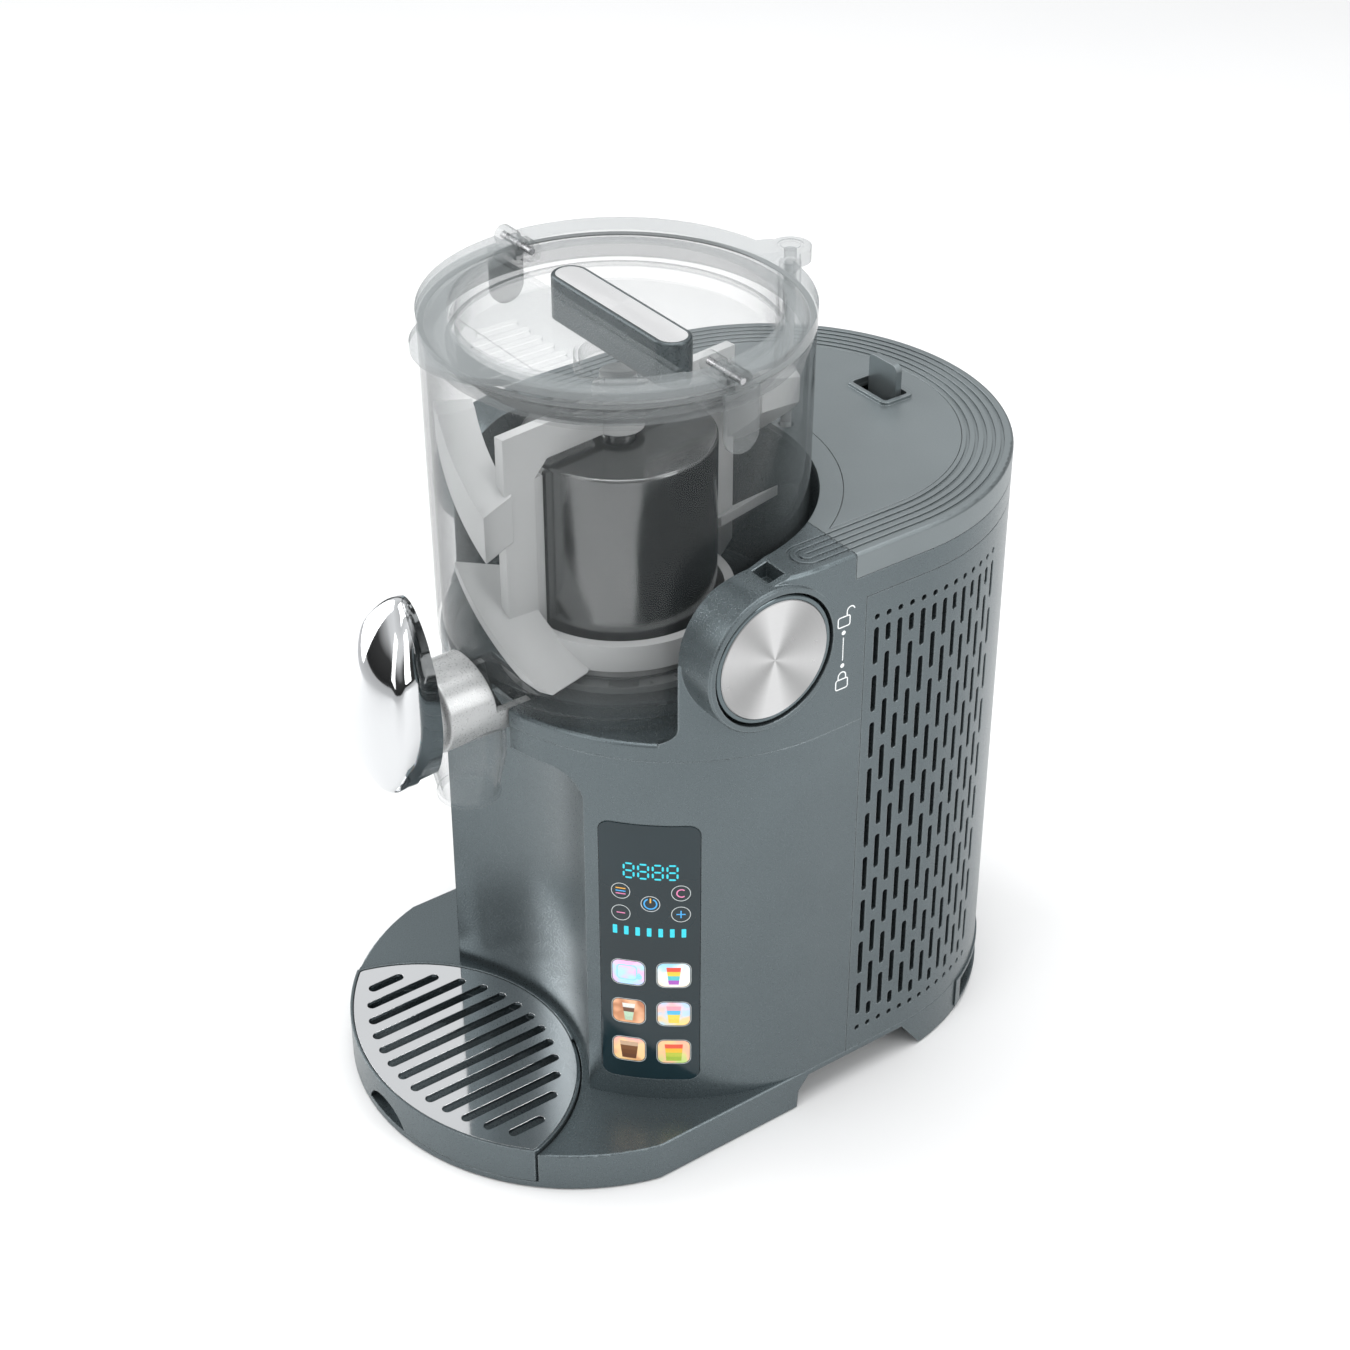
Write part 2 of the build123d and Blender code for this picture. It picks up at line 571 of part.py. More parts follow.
def top_cover():
    """Cap over the rear of the body, with a skirt."""
    low = BODY_TOP - COVER_SKIRT
    solid = prism(stadium(), low + PART_GAP, BODY_TOP)
    solid = fillet(solid.edges().group_by(Axis.Z)[-1], EDGE_R)
    solid -= prism(stadium(WALL), low - 1, BODY_TOP - WALL)
    solid &= block(-BEYOND, BEYOND, COVER_SEAM_Y + PART_GAP, REAR_Y + 5, low - 1, BODY_TOP + 1)
    body = solid - disc(WELL_R, 0, BODY_TOP + 5)
    body -= grooves()
    body -= prism(deck_outline(0.0), BODY_TOP - DECK_PANEL_T, BODY_TOP + 1)
    body -= block(-TAB_SLOT_HALF_X, TAB_SLOT_HALF_X, TAB_SLOT_Y0, TAB_SLOT_Y1, low, BODY_TOP + 1)
    return body - disc(ROD_HOLE_R, low, BODY_TOP + 1, 0, EAR_Y)


def deck_outline(inset):
    """Flat panel in the middle of the top cover, in plan."""
    radius = DECK_R - inset
    start = COVER_SEAM_Y + 4
    sides = Pos(0, (start + REAR_ROUND_Y) / 2) * Rectangle(2 * radius, REAR_ROUND_Y - start)
    plan = sides + Pos(0, REAR_ROUND_Y) * Circle(radius)
    plan -= Circle(WELL_R + 9.5 + inset)
    return plan & Pos(0, start + inset + BEYOND) * Rectangle(2 * BEYOND, 2 * BEYOND)


def deck_panel():
    """Flat panel in the top cover, with a raised rim round the tab's slot."""
    low = BODY_TOP - DECK_PANEL_T
    place = Pos(0, (TAB_SLOT_Y0 + TAB_SLOT_Y1) / 2)
    depth = TAB_SLOT_Y1 - TAB_SLOT_Y0
    rim = RectangleRounded(2 * TAB_SLOT_HALF_X + 4, depth + 4, 3.0)
    hole = RectangleRounded(2 * TAB_SLOT_HALF_X, depth, 1.6)
    panel = prism(deck_outline(0.25), low, BODY_TOP)
    panel += prism(place * rim, low, BODY_TOP + 1.5)
    return panel - prism(place * hole, low - 1, BODY_TOP + 3)


def release_tab():
    """Upright tab in the slot of the deck panel, on a slider under the cover."""
    outline = RectangleRounded(18.0, 29.0, 3.0)
    tab = front_face(Pos(0, BODY_TOP - 0.4) * outline, TAB_Y, TAB_Y + TAB_T)
    slider = block(-14, 14, TAB_Y - 9, TAB_Y + 9, BODY_TOP - 17.9, BODY_TOP - 13.9)
    return tab + slider


def vent_centres():
    """Distance along the side, and the round end's angle, of each column of vents."""
    columns = []
    for i in range(VENT_COLUMNS):
        run = VENT_START_Y + i * VENT_PITCH
        if run <= REAR_ROUND_Y:
            columns.append((BODY_R, run, 0.0, i))
        else:
            angle = (run - REAR_ROUND_Y) / BODY_R
            columns.append((BODY_R * cos(angle), REAR_ROUND_Y + BODY_R * sin(angle), degrees(angle), i))
    return columns


def vent_column(staggered):
    """One column of upright slots, with a round hole at each end, drawn about its own axis."""
    half = VENT_PERIOD / 2 if staggered else 0.0
    outline = Pos(0, VENT_HIGH) * Circle(VENT_SLOT_W / 2) + Pos(0, VENT_LOW) * Circle(VENT_SLOT_W / 2)
    z = VENT_HIGH - 5.0
    length = VENT_SLOT_L if not staggered else VENT_SLOT_L - half + 2.0
    while z - length > VENT_LOW + 4:
        outline += Pos(0, z - length / 2) * Rot(0, 0, 90) * SlotOverall(length, VENT_SLOT_W)
        z -= length + VENT_PERIOD - VENT_SLOT_L
        length = min(VENT_SLOT_L, max(z - VENT_LOW - 5.0, VENT_SLOT_W + 1.0))
    return extrude(Plane.YZ * outline, amount=8, both=True)


def vents(side):
    columns = [vent_column(False), vent_column(True)]
    cuts = []
    for x, y, angle, index in vent_centres():
        cuts.append(Pos(side * x, y, 0) * Rot(0, 0, side * angle) * columns[index % 2])
    return cuts


def rear_shell():
    """Vented shell that wraps round the sides and the rear."""
    body = prism(stadium(), BASE_TOP, SHELL_TOP - PART_GAP) - prism(stadium(WALL), 0, SHELL_TOP + 5)
    body &= block(-BEYOND, BEYOND, SHELL_SEAM_Y + PART_GAP, REAR_Y + 5, 0, SHELL_TOP + 5)
    return body - (vents(1) + vents(-1))


def control_glass():
    return panel_prism(0.15, BODY_R - 1.6, BODY_R + 0.25)


def display_board():
    """Circuit board behind the control panel."""
    return panel_prism(4.0, BODY_R - WALL - 3.2, BODY_R - WALL - 1.6)


def evaporator_drum():
    """Steel drum with a tube up its middle for the shaft."""
    body = disc(DRUM_R, DRUM_FOOT_Z, DRUM_TOP)
    body = fillet(body.edges().group_by(Axis.Z)[-1], 1.2)
    body -= disc(DRUM_R - DRUM_WALL, DRUM_FOOT_Z - 1, DRUM_TOP - DRUM_WALL)
    body += tube(SHAFT_R + 3.0, SHAFT_R + 0.4, DRUM_FOOT_Z, DRUM_TOP + 3)
    return body - disc(SHAFT_R + 0.4, DECK_Z, DRUM_TOP + 10)


def drum_flange():
    """Foot of the drum, which closes the hole in the deck and carries the seal."""
    body = disc(FLANGE_R, DECK_Z - WALL, DRUM_FOOT_Z)
    body += disc(FLANGE_R + 8, DECK_Z - WALL - 3, DECK_Z - WALL)
    body -= disc(SHAFT_R + 0.4, DECK_Z - 20, DECK_Z + 20)
    body -= tube(FLANGE_R + 1, FLANGE_R - 2.0, DECK_Z + 4.0, DECK_Z + 6.6)
    return body


def drum_seal():
    """Lip seal between the drum's flange and the bowl's collar."""
    return tube(FLANGE_R + 0.45, FLANGE_R - 2.0, DECK_Z + 4.0, DECK_Z + 6.6)


def evaporator_coil():
    """Refrigerant coil wound on the inside of the drum, as a stack of rings on one riser."""
    low = DRUM_FOOT_Z + 9.0
    pitch = (DRUM_TOP - 14.0 - low) / (COIL_TURNS - 1)
    ring = Torus(DRUM_R - DRUM_WALL - COIL_WIRE_R - 0.1, COIL_WIRE_R)
    body = disc(COIL_WIRE_R - 0.6, low - 8, DRUM_TOP - 3, DRUM_R - 9.0, 0)
    for i in range(COIL_TURNS):
        body += Pos(0, 0, low + i * pitch) * ring
    return body


def drive_shaft():
    body = disc(SHAFT_R, GEARBOX_TOP - 12, DRUM_TOP + 4)
    hex_end = prism(RegularPolygon(SHAFT_R, 6), DRUM_TOP + 3, SHAFT_TOP)
    return body + chamfer(hex_end.edges().group_by(Axis.Z)[-1], 0.6)


def gearbox():
    body = disc(GEARBOX_R, GEARBOX_TOP - GEARBOX_H, GEARBOX_TOP)
    body += disc(GEARBOX_R + 5, GEARBOX_TOP - 3, DECK_Z - WALL - 3)
    return body - disc(SHAFT_R + 0.4, GEARBOX_TOP - 12.4, GEARBOX_TOP + 5)


def drive_motor():
    """Motor with cooling ribs, under the gearbox."""
    top = GEARBOX_TOP - GEARBOX_H
    body = disc(MOTOR_R, top - MOTOR_H, top)
    body = fillet(body.edges().group_by(Axis.Z)[0], 3)
    rib = block(MOTOR_R - 1, MOTOR_R + 2, -1, 1, top - MOTOR_H + 10, top - 8)
    for i in range(MOTOR_RIBS):
        body += Rot(0, 0, i * 360 / MOTOR_RIBS) * rib
    return body


def compressor():
    """Hermetic compressor on its foot plate."""
    low = BASE_TOP + 10.8
    body = disc(COMPRESSOR_R, low, low + COMPRESSOR_H, 0, COMPRESSOR_Y)
    body = fillet(body.edges().group_by(Axis.Z)[-1] + body.edges().group_by(Axis.Z)[0], 11)
    half_y = MOUNT_DY + MOUNT_R + 0.5
    plate_low = BASE_TOP + MOUNT_H
    return body + block(-MOUNT_X - 6, MOUNT_X + 6, COMPRESSOR_Y - half_y, COMPRESSOR_Y + half_y,
                        plate_low, plate_low + 8)


def compressor_mounts():
    mounts = []
    for x in (-MOUNT_X, MOUNT_X):
        for y in (COMPRESSOR_Y - MOUNT_DY, COMPRESSOR_Y + MOUNT_DY):
            mounts.append(disc(MOUNT_R, BASE_TOP, BASE_TOP + MOUNT_H, x, y))
    return Compound(children=mounts)


def condenser():
    """Finned heat exchanger behind the fan."""
    front = CONDENSER_Y
    back = CONDENSER_Y + CONDENSER_T
    body = block(-CONDENSER_HALF_W, CONDENSER_HALF_W, front, back, CONDENSER_LOW, CONDENSER_HIGH)
    reach = CONDENSER_HALF_W - 4
    fins = int((CONDENSER_HIGH - CONDENSER_LOW - 6) / FIN_PITCH) + 1
    for i in range(fins):
        z = CONDENSER_LOW + 6 + i * FIN_PITCH
        gap = block(-reach, reach, front - 2, back + 2, z, z + FIN_GAP)
        core = block(-reach, reach, front + 6.5, front + 9.5, z, z + FIN_GAP)
        body -= gap - core
    return body


def fan_shroud():
    """Square frame round the fan, with a hub on a cross."""
    body = block(-FAN_HALF, FAN_HALF, FAN_Y - 3, CONDENSER_Y - 0.5, FAN_Z - FAN_HALF, FAN_Z + FAN_HALF)
    body -= rod_y(FAN_R + 3.5, FAN_Y - 5, FAN_Y + 14, 0, FAN_Z)
    for angle in (0, 90):
        body += Pos(0, FAN_Y + 10.5, FAN_Z) * Rot(0, angle, 0) * Box(2 * FAN_HALF - 4, 3, 5)
    body += rod_y(13, FAN_Y + 3.2, FAN_Y + 12, 0, FAN_Z)
    return body - rod_y(FAN_PIN_R + 0.05, FAN_Y - 5, FAN_Y + 7, 0, FAN_Z)


def fan_rotor():
    body = rod_y(15, FAN_Y - 3, FAN_Y + 2.6, 0, FAN_Z)
    blade = block(14, FAN_R, -1.0, 1.0, -4.5, 4.5)
    for i in range(FAN_BLADES):
        body += Pos(0, FAN_Y - 0.6, FAN_Z) * Rot(0, i * 360 / FAN_BLADES, 0) * Rot(30, 0, 0) * blade
    return body + rod_y(FAN_PIN_R, FAN_Y + 2, FAN_Y + 6.5, 0, FAN_Z)


def mainboard():
    """Upright circuit board behind the well, with a heat sink, a relay and two capacitors."""
    low = BOARD_LOW
    front = BOARD_Y + 0.5
    body = block(-50, 30, BOARD_Y, BOARD_Y + BOARD_T, low, low + 80)
    heat_sink = block(-40, -16, BOARD_Y - 7, front, low + 7, low + 29)
    relay = block(-8, 10, BOARD_Y - 6, front, low + 10, low + 22)
    body += heat_sink + relay
    for x in (-2, 16):
        body += rod_y(6, BOARD_Y - 9, front, x, low + 55)
    return body


def lid_switch():
    """Microswitch under the interlock rod."""
    return block(-10, 10, EAR_Y - 1.8, EAR_Y + 7, SWITCH_TOP - 14, SWITCH_TOP)


def outer_rim(body, side):
    """The circular edge of a lock's piece that faces outwards."""
    return body.edges().filter_by(GeomType.CIRCLE).sort_by(Axis.X)[-1 if side > 0 else 0]


def square_rod(side, x_in, x_out, half):
    x0, x1 = sorted((side * x_in, side * x_out))
    return block(x0, x1, KNOB_Y - half, KNOB_Y + half, KNOB_Z - half, KNOB_Z + half)


def knob(side):
    """Lock knob: a dished wheel, with a stem whose square end carries the cam."""
    body = rod_x(KNOB_R, side * (BODY_R - 10), side * (BODY_R - 0.6), KNOB_Y, KNOB_Z)
    body = fillet(outer_rim(body, side), 0.9)
    body -= rod_x(DISC_R + 0.1, side * (BODY_R - 1.6), side * (BODY_R + 1), KNOB_Y, KNOB_Z)
    body += rod_x(STEM_R, side * (BODY_R - 13), side * (BODY_R - 9), KNOB_Y, KNOB_Z)
    return body + square_rod(side, BODY_R - 15.6, BODY_R - 12, SQUARE)


def knob_disc(side):
    body = rod_x(DISC_R, side * (BODY_R - 1.6), side * (BODY_R - 0.2), KNOB_Y, KNOB_Z)
    return chamfer(outer_rim(body, side), 0.35)


def lock_cam(side):
    """Cam on the knob's stem, which turns behind the well's wall."""
    x0, x1 = sorted((side * (BODY_R - 15.8), side * (BODY_R - 13.2)))
    body = rod_x(7.5, x0, x1, KNOB_Y, KNOB_Z) + block(x0, x1, KNOB_Y - 3, KNOB_Y + 3, KNOB_Z - 13, KNOB_Z)
    return body - square_rod(side, BODY_R - 17, BODY_R - 12, SQUARE + 0.05)


def bowl_outside(z):
    """Outside radius of the bowl at a height."""
    return BOWL_R - BOWL_TAPER * (BOWL_TOP - z) / (BOWL_TOP - BOWL_FLOOR_Z)


def turned(points):
    """A solid of revolution about the bowl's axis, from points given as radius and height."""
    return revolve(make_face(Plane.XZ * Polyline(*points, close=True)), Axis.Z)


def bowl():
    """Clear bowl with a collar round the drum, a spout tube and the interlock rod's sleeve."""
    low_r = bowl_outside(BOWL_FLOOR_Z)
    inner_low = low_r - BOWL_WALL
    floor_top = BOWL_FLOOR_Z + 2.4
    body = turned([(COLLAR_R, BOWL_FLOOR_Z), (COLLAR_R, floor_top + 2), (COLLAR_R + 2.2, floor_top + 2),
                   (COLLAR_R + 2.2, floor_top), (inner_low - 5, floor_top), (inner_low, floor_top + 5),
                   (BOWL_R - BOWL_WALL, BOWL_TOP), (BOWL_R, BOWL_TOP), (low_r, BOWL_FLOOR_Z + 2),
                   (low_r - 2, BOWL_FLOOR_Z), (low_r - 3.5, BOWL_FLOOR_Z), (low_r - 3.5, BOWL_FOOT_Z),
                   (low_r - 6.0, BOWL_FOOT_Z), (low_r - 6.0, BOWL_FLOOR_Z)])
    spout = rod_y(SPOUT_R, BARREL_FRONT_Y + 2, CHANNEL_BACK_Y - 7, 0, BARREL_Z)
    inside = disc(inner_low - 2, floor_top, BOWL_TOP)
    body += spout - inside
    body -= rod_y(BORE_R, BARREL_FRONT_Y, CHANNEL_BACK_Y - 11, 0, BARREL_Z)
    body -= disc(OUTLET_R, BARREL_Z - BARREL_R - 1, BARREL_Z, 0, NOZZLE_Y)
    sleeve = disc(4.6, SLEEVE_Z, BOWL_TOP, 0, EAR_Y)
    web = block(-1.2, 1.2, bowl_outside(SLEEVE_Z) - 1.5, EAR_Y, SLEEVE_Z, BOWL_TOP - 1)
    body += sleeve + web
    body -= disc(ROD_R + 0.4, SLEEVE_Z - 1, BOWL_TOP + 1, 0, EAR_Y)
    return body


def bowl_gasket():
    """Seal under the floor, round the collar."""
    return tube(COLLAR_R + 6, COLLAR_R + 0.2, BOWL_FLOOR_Z - 3.0, BOWL_FLOOR_Z)


def spout_barrel():
    """Barrel of the spout, shaped to the bowl, with a neck that carries the lever."""
    body = rod_y(BARREL_R, BARREL_FRONT_Y, CHANNEL_BACK_Y - 6, 0, BARREL_Z)
    body = fillet(body.edges().filter_by(GeomType.CIRCLE).group_by(Axis.Y)[0], 1.2)
    body -= turned([(0, BOWL_FOOT_Z - 1), (bowl_outside(BOWL_FLOOR_Z) + 0.1, BOWL_FOOT_Z - 1),
                    (bowl_outside(BOWL_FLOOR_Z) + 0.1, BOWL_FLOOR_Z), (BOWL_R + 0.1, BOWL_TOP), (0, BOWL_TOP)])
    body -= rod_y(SPOUT_R, BARREL_FRONT_Y + 2, 0, 0, BARREL_Z)
    body += rod_y(NECK_R, NECK_FRONT_Y, BARREL_FRONT_Y + 2, 0, BARREL_Z)
    body -= rod_y(BORE_R, NECK_FRONT_Y + 1.6, 0, 0, BARREL_Z)
    body -= rod_y(ROD_END_R + 0.6, NECK_FRONT_Y - 5, NECK_FRONT_Y + 5, 0, BARREL_Z)
    body -= disc(OUTLET_R, BARREL_Z - BARREL_R - 5, BARREL_Z, 0, NOZZLE_Y)
    return body - rod_x(PIN_R, -PIN_REACH, PIN_REACH, PIVOT_Y, BARREL_Z)


def lever_pins():
    """Two stub pins pressed into the neck, on which the lever turns."""
    pins = [rod_x(PIN_R, side * (NECK_R - 3.2), side * PIN_REACH, PIVOT_Y, BARREL_Z) for side in (-1, 1)]
    return Compound(children=pins)


def nozzle():
    """Clear funnel under the barrel."""
    top = BARREL_Z - 3
    wide = NOZZLE_R + 3.8
    shoulder = NOZZLE_Z + 20
    points = [(NOZZLE_R - NOZZLE_WALL, NOZZLE_Z), (NOZZLE_R + 0.8, NOZZLE_Z),
              (NOZZLE_R + 0.8, NOZZLE_Z + 1.4), (NOZZLE_R, NOZZLE_Z + 1.8), (wide, shoulder), (wide, top),
              (wide - NOZZLE_WALL, top), (wide - NOZZLE_WALL, shoulder)]
    barrel = rod_y(BARREL_R + 0.02, NOZZLE_Y - 50, NOZZLE_Y + 50, 0, BARREL_Z)
    return Pos(0, NOZZLE_Y, 0) * turned(points) - barrel


def ring_groove(outer):
    """A ring round the piston, out to the given radius."""
    ring = rod_y(outer, RING_Y0, RING_Y1, 0, BARREL_Z)
    return ring - rod_y(BORE_R - RING_DEPTH, RING_Y0 - 1, RING_Y1 + 1, 0, BARREL_Z)


def valve_plunger():
    """Piston that closes the spout, with the rod that the lever pulls."""
    body = rod_y(BORE_R - 0.3, PISTON_Y0, PISTON_Y1, 0, BARREL_Z) - ring_groove(BORE_R + 1)
    return body + rod_y(ROD_END_R, NECK_FRONT_Y - 1.5, PISTON_Y0 + 1, 0, BARREL_Z)


def plunger_ring():
    return ring_groove(BORE_R - 0.1)


def lever_form(inset):
    """Egg-shaped outline in front view, under a surface that bulges both ways."""
    half = LEVER_HALF_W - inset
    up = [(half * x, (LEVER_UP - 1.4 * inset) * z) for x, z in LEVER_UPPER]
    down = [(half * x, (inset - LEVER_DOWN) * z) for x, z in LEVER_LOWER]
    right = Spline(*up, tangents=[(0, 1), (-1, 0)]) + Spline(*down, tangents=[(0, -1), (-1, 0)])
    outline = make_face(right + mirror(right, Plane.YZ))
    rod = front_face(Pos(0, LEVER_MID) * outline, LEVER_FRONT_Y - 5, LEVER_BACK_Y)
    around_y = LEVER_FRONT_Y + LEVER_TALL_R
    form = Pos(0, around_y, LEVER_MID) * Rot(0, 90, 0) \
        * Torus(LEVER_TALL_R - LEVER_ACROSS_R, LEVER_ACROSS_R - inset)
    return rod & form


def lever():
    """Hollow lever, open at the back and below to straddle the neck of the barrel."""
    body = lever_form(0.0) - lever_form(LEVER_WALL)
    room = NECK_R + 1.4
    low = LEVER_MID - LEVER_DOWN
    body -= block(-room, room, LEVER_BACK_Y - 8, LEVER_BACK_Y + 10, low - 5, low + 14)
    return body - rod_x(PIN_R + 0.06, -PIN_REACH - 0.3, PIN_REACH + 0.3, PIVOT_Y, BARREL_Z)


def ring_plan(r_out, r_in, y_from=None, y_to=None):
    """A flat ring in plan, kept only between two values of y."""
    ring = Circle(r_out) - Circle(r_in)
    low = -r_out - 20 if y_from is None else y_from
    high = r_out + 20 if y_to is None else y_to
    return ring & Pos(0, (low + high) / 2) * Rectangle(4 * r_out, high - low)


def knuckles(spans, low):
    """Hinge barrels over the given spans of x, at both ends, with a foot down to z = low."""
    parts = []
    for side in (-1, 1):
        for x0, x1 in spans:
            barrel = rod_x(HINGE_R, side * x0, side * x1, 0, HINGE_Z)
            foot = block(*sorted((side * x0, side * x1)), -HINGE_R + 0.8, HINGE_R - 0.8, low, HINGE_Z)
            parts.append(barrel + foot)
    return parts


def strainer():
    """Slots through the front of the lid's pan."""
    slots = []
    count = int((LID_INNER_R - 9) / STRAINER_PITCH)
    for i in range(-count, count + 1):
        x = i * STRAINER_PITCH
        back = CHORD_Y - 4
        length = back + sqrt((LID_INNER_R - 8) ** 2 - x * x)
        if length > 8:
            slot = Pos(x, back - length / 2) * Rot(0, 0, 90) * SlotOverall(length, STRAINER_SLOT_W)
            slots.append(prism(slot, PAN_Z - PAN_T - 1, PAN_Z + 1))
    return slots


def side_clip(side):
    """Tongue that hangs from the lid's rim over the outside of the bowl."""
    outline = Rectangle(16, 18) + Pos(0, -9) * Circle(8)
    tongue = extrude(Plane.YZ.offset(side * (LID_R + 1.4) - 0.9) * Pos(0, CLIP_Z) * outline, amount=1.8)
    x0, x1 = sorted((side * (LID_R - 2), side * (LID_R + 2.3)))
    return tongue + block(x0, x1, -8, 8, LID_SEAT, HINGE_FLOOR - 0.1)


def lid_rim():
    """Rim, recessed pan, plug inside the bowl and ear over the interlock rod."""
    low_half = FLAP_LOW - 0.3
    body = prism(ring_plan(LID_R, LID_INNER_R), LID_SEAT, low_half)
    body += prism(ring_plan(LID_R, LID_INNER_R, HINGE_R + 0.6), LID_SEAT, LID_TOP)
    body += tube(LID_INNER_R, LID_INNER_R - PAN_T, PAN_Z - PAN_T, low_half)
    body += disc(LID_INNER_R - 0.5, PAN_Z - PAN_T, PAN_Z)
    plug_r = BOWL_R - BOWL_WALL - 0.8
    body += tube(plug_r, plug_r - 2.0, LID_SEAT - 9, LID_SEAT + 1)
    body += tube(LID_INNER_R - PAN_T + 4, LID_INNER_R - PAN_T, PAN_Z + 4, PAN_Z + 6)
    body += tube(HUB_R + 7.0, HUB_R + 5.0, PAN_Z - 9, PAN_Z - PAN_T + 0.5)
    ear = Pos(0, EAR_Y) * Circle(8.6) + Pos(0, EAR_Y - 8) * Trapezoid(30, 12, 64)
    body += prism(ear - Circle(LID_R - 1), LID_SEAT, LID_TOP)
    body -= disc(ROD_R + 0.3, LID_SEAT - 1, LID_SEAT + 4.5, 0, EAR_Y)
    return body + tube(5.4, 4.2, LID_TOP - 0.5, LID_TOP + 0.5, 0, EAR_Y)


def lid_body():
    """Clear lid: rim and pan, with a strainer in front, hinge knuckles and clips."""
    body = lid_rim() - strainer()
    cut = block(-HINGE_OUT - 2, -HINGE_IN + 1, -HINGE_R - 1.2, HINGE_R + 0.6, HINGE_FLOOR, LID_TOP + 10)
    body -= cut + mirror(cut, Plane.YZ)
    step = HINGE_STEP - HINGE_GAP
    body += knuckles([(HINGE_IN, HINGE_IN + step), (HINGE_OUT - step, HINGE_OUT)], HINGE_FLOOR - 0.1)
    body += side_clip(1) + side_clip(-1)
    return body - rod_x(HINGE_PIN_R, -HINGE_OUT - 5, HINGE_OUT + 5, 0, HINGE_Z)


def pour_flap():
    """Front half of the lid's top, hinged at both sides."""
    low = FLAP_LOW
    plate = Circle(LID_R) & Pos(0, CHORD_Y - BEYOND) * Rectangle(2 * BEYOND, 2 * BEYOND)
    lip = Pos(0, -LID_R + 24) * Ellipse(34, 34.2) & Pos(0, -LID_R) * Rectangle(80, 40)
    body = prism(plate, low, LID_TOP - 0.9) + prism(lip, low, LID_TOP)
    body += prism(ring_plan(LID_R, LID_INNER_R, None, CHORD_Y), low, LID_TOP)
    body += prism(Pos(0, CHORD_Y - 1.2) * Rectangle(2 * (LID_INNER_R - 3.3), 2.4), low, LID_TOP)
    inner = HINGE_IN + HINGE_STEP + HINGE_GAP
    outer = HINGE_OUT - HINGE_STEP - HINGE_GAP
    body += prism(ring_plan(LID_R, inner, CHORD_Y - 1, -HINGE_R - 1.5), low, LID_TOP)
    for side in (-1, 1):
        x0, x1 = sorted((side * inner, side * outer))
        body += block(x0, x1, -HINGE_R - 2, 0, low + 0.4, LID_TOP)
        body += rod_x(FLAP_KNUCKLE_R, x0, x1, 0, HINGE_Z)
    return body - rod_x(HINGE_PIN_R + 0.05, -HINGE_OUT - 5, HINGE_OUT + 5, 0, HINGE_Z)


def hinge_pins():
    pins = []
    for side in (-1, 1):
        pins.append(rod_x(HINGE_PIN_R, side * (HINGE_IN + 0.6), side * (HINGE_OUT - 0.4), 0, HINGE_Z))
    return Compound(children=pins)


def lid_seal():
    return tube(BOWL_R - 0.2, BOWL_R - BOWL_WALL - 0.2, BOWL_TOP + 0.35, BOWL_TOP + 0.98)


def lid_bar():
    """Grip bar on the pan of the lid."""
    outline = SlotOverall(BAR_LENGTH, BAR_WIDTH)
    body = prism(Pos(0, BAR_Y) * outline, PAN_Z, BAR_TOP)
    body = fillet(body.edges().group_by(Axis.Z)[-1], 1.2)
    recess = Pos(0, BAR_Y) * SlotOverall(BAR_LENGTH - 2 * BAR_RIM, BAR_WIDTH - 2 * BAR_RIM)
    return body - prism(recess, BAR_TOP - 1.0, BAR_TOP + 1)


def lid_bar_inlay():
    inset = 2 * BAR_RIM + 0.2
    outline = SlotOverall(BAR_LENGTH - inset, BAR_WIDTH - inset)
    return prism(Pos(0, BAR_Y) * outline, BAR_TOP - 1.0, BAR_TOP - 0.1)


def interlock_rod():
    """Rod that reaches from the lid's ear down to the switch in the body."""
    body = disc(ROD_R, SWITCH_TOP + 1.0, BOWL_TOP + 0.6, 0, EAR_Y)
    return fillet(body.edges(), 0.6)


def hub_and_arms(angle):
    """One side of the dasher: a top arm and an upright blade."""
    half = ARM_T / 2
    body = block(UPRIGHT_R, ARM_R, -half, half, RING_LOW, ARM_TOP)
    body += block(HUB_R - 2, ARM_R, -half, half, ARM_LOW, ARM_TOP)
    body += Pos(UPRIGHT_R, 0, ARM_LOW) * Rot(0, 45, 0) * Box(9, ARM_T, 9)
    body -= Pos(ARM_R, 0, RING_LOW) * Rot(0, 45, 0) * Box(16, ARM_T + 2, 16)
    return Rot(0, 0, angle) * body


def flight(r_in, height, pitch, sweep, thick):
    """A pitched paddle: a slab across the ring outside r_in, cut to a sector in degrees."""
    start, stop = sweep
    middle = (start + stop) / 2
    reach = (r_in + BLADE_R) / 2
    place = Pos(reach * cos(radians(middle)), reach * sin(radians(middle)), height)
    slab = place * Rot(0, 0, middle) * Rot(pitch, 0, 0) * Box(80, 130, thick)
    low = BOWL_FLOOR_Z - 30
    ring = tube(BLADE_R + 5, r_in, low, BOWL_TOP)
    wedge = [(0, 0)]
    for i in range(5):
        turn = radians(start + (stop - start) * i / 4)
        wedge.append((2 * BODY_R * cos(turn), 2 * BODY_R * sin(turn)))
    sector = prism(make_face(Polyline(*wedge, close=True)), low, BOWL_TOP)
    return slab & ring & sector


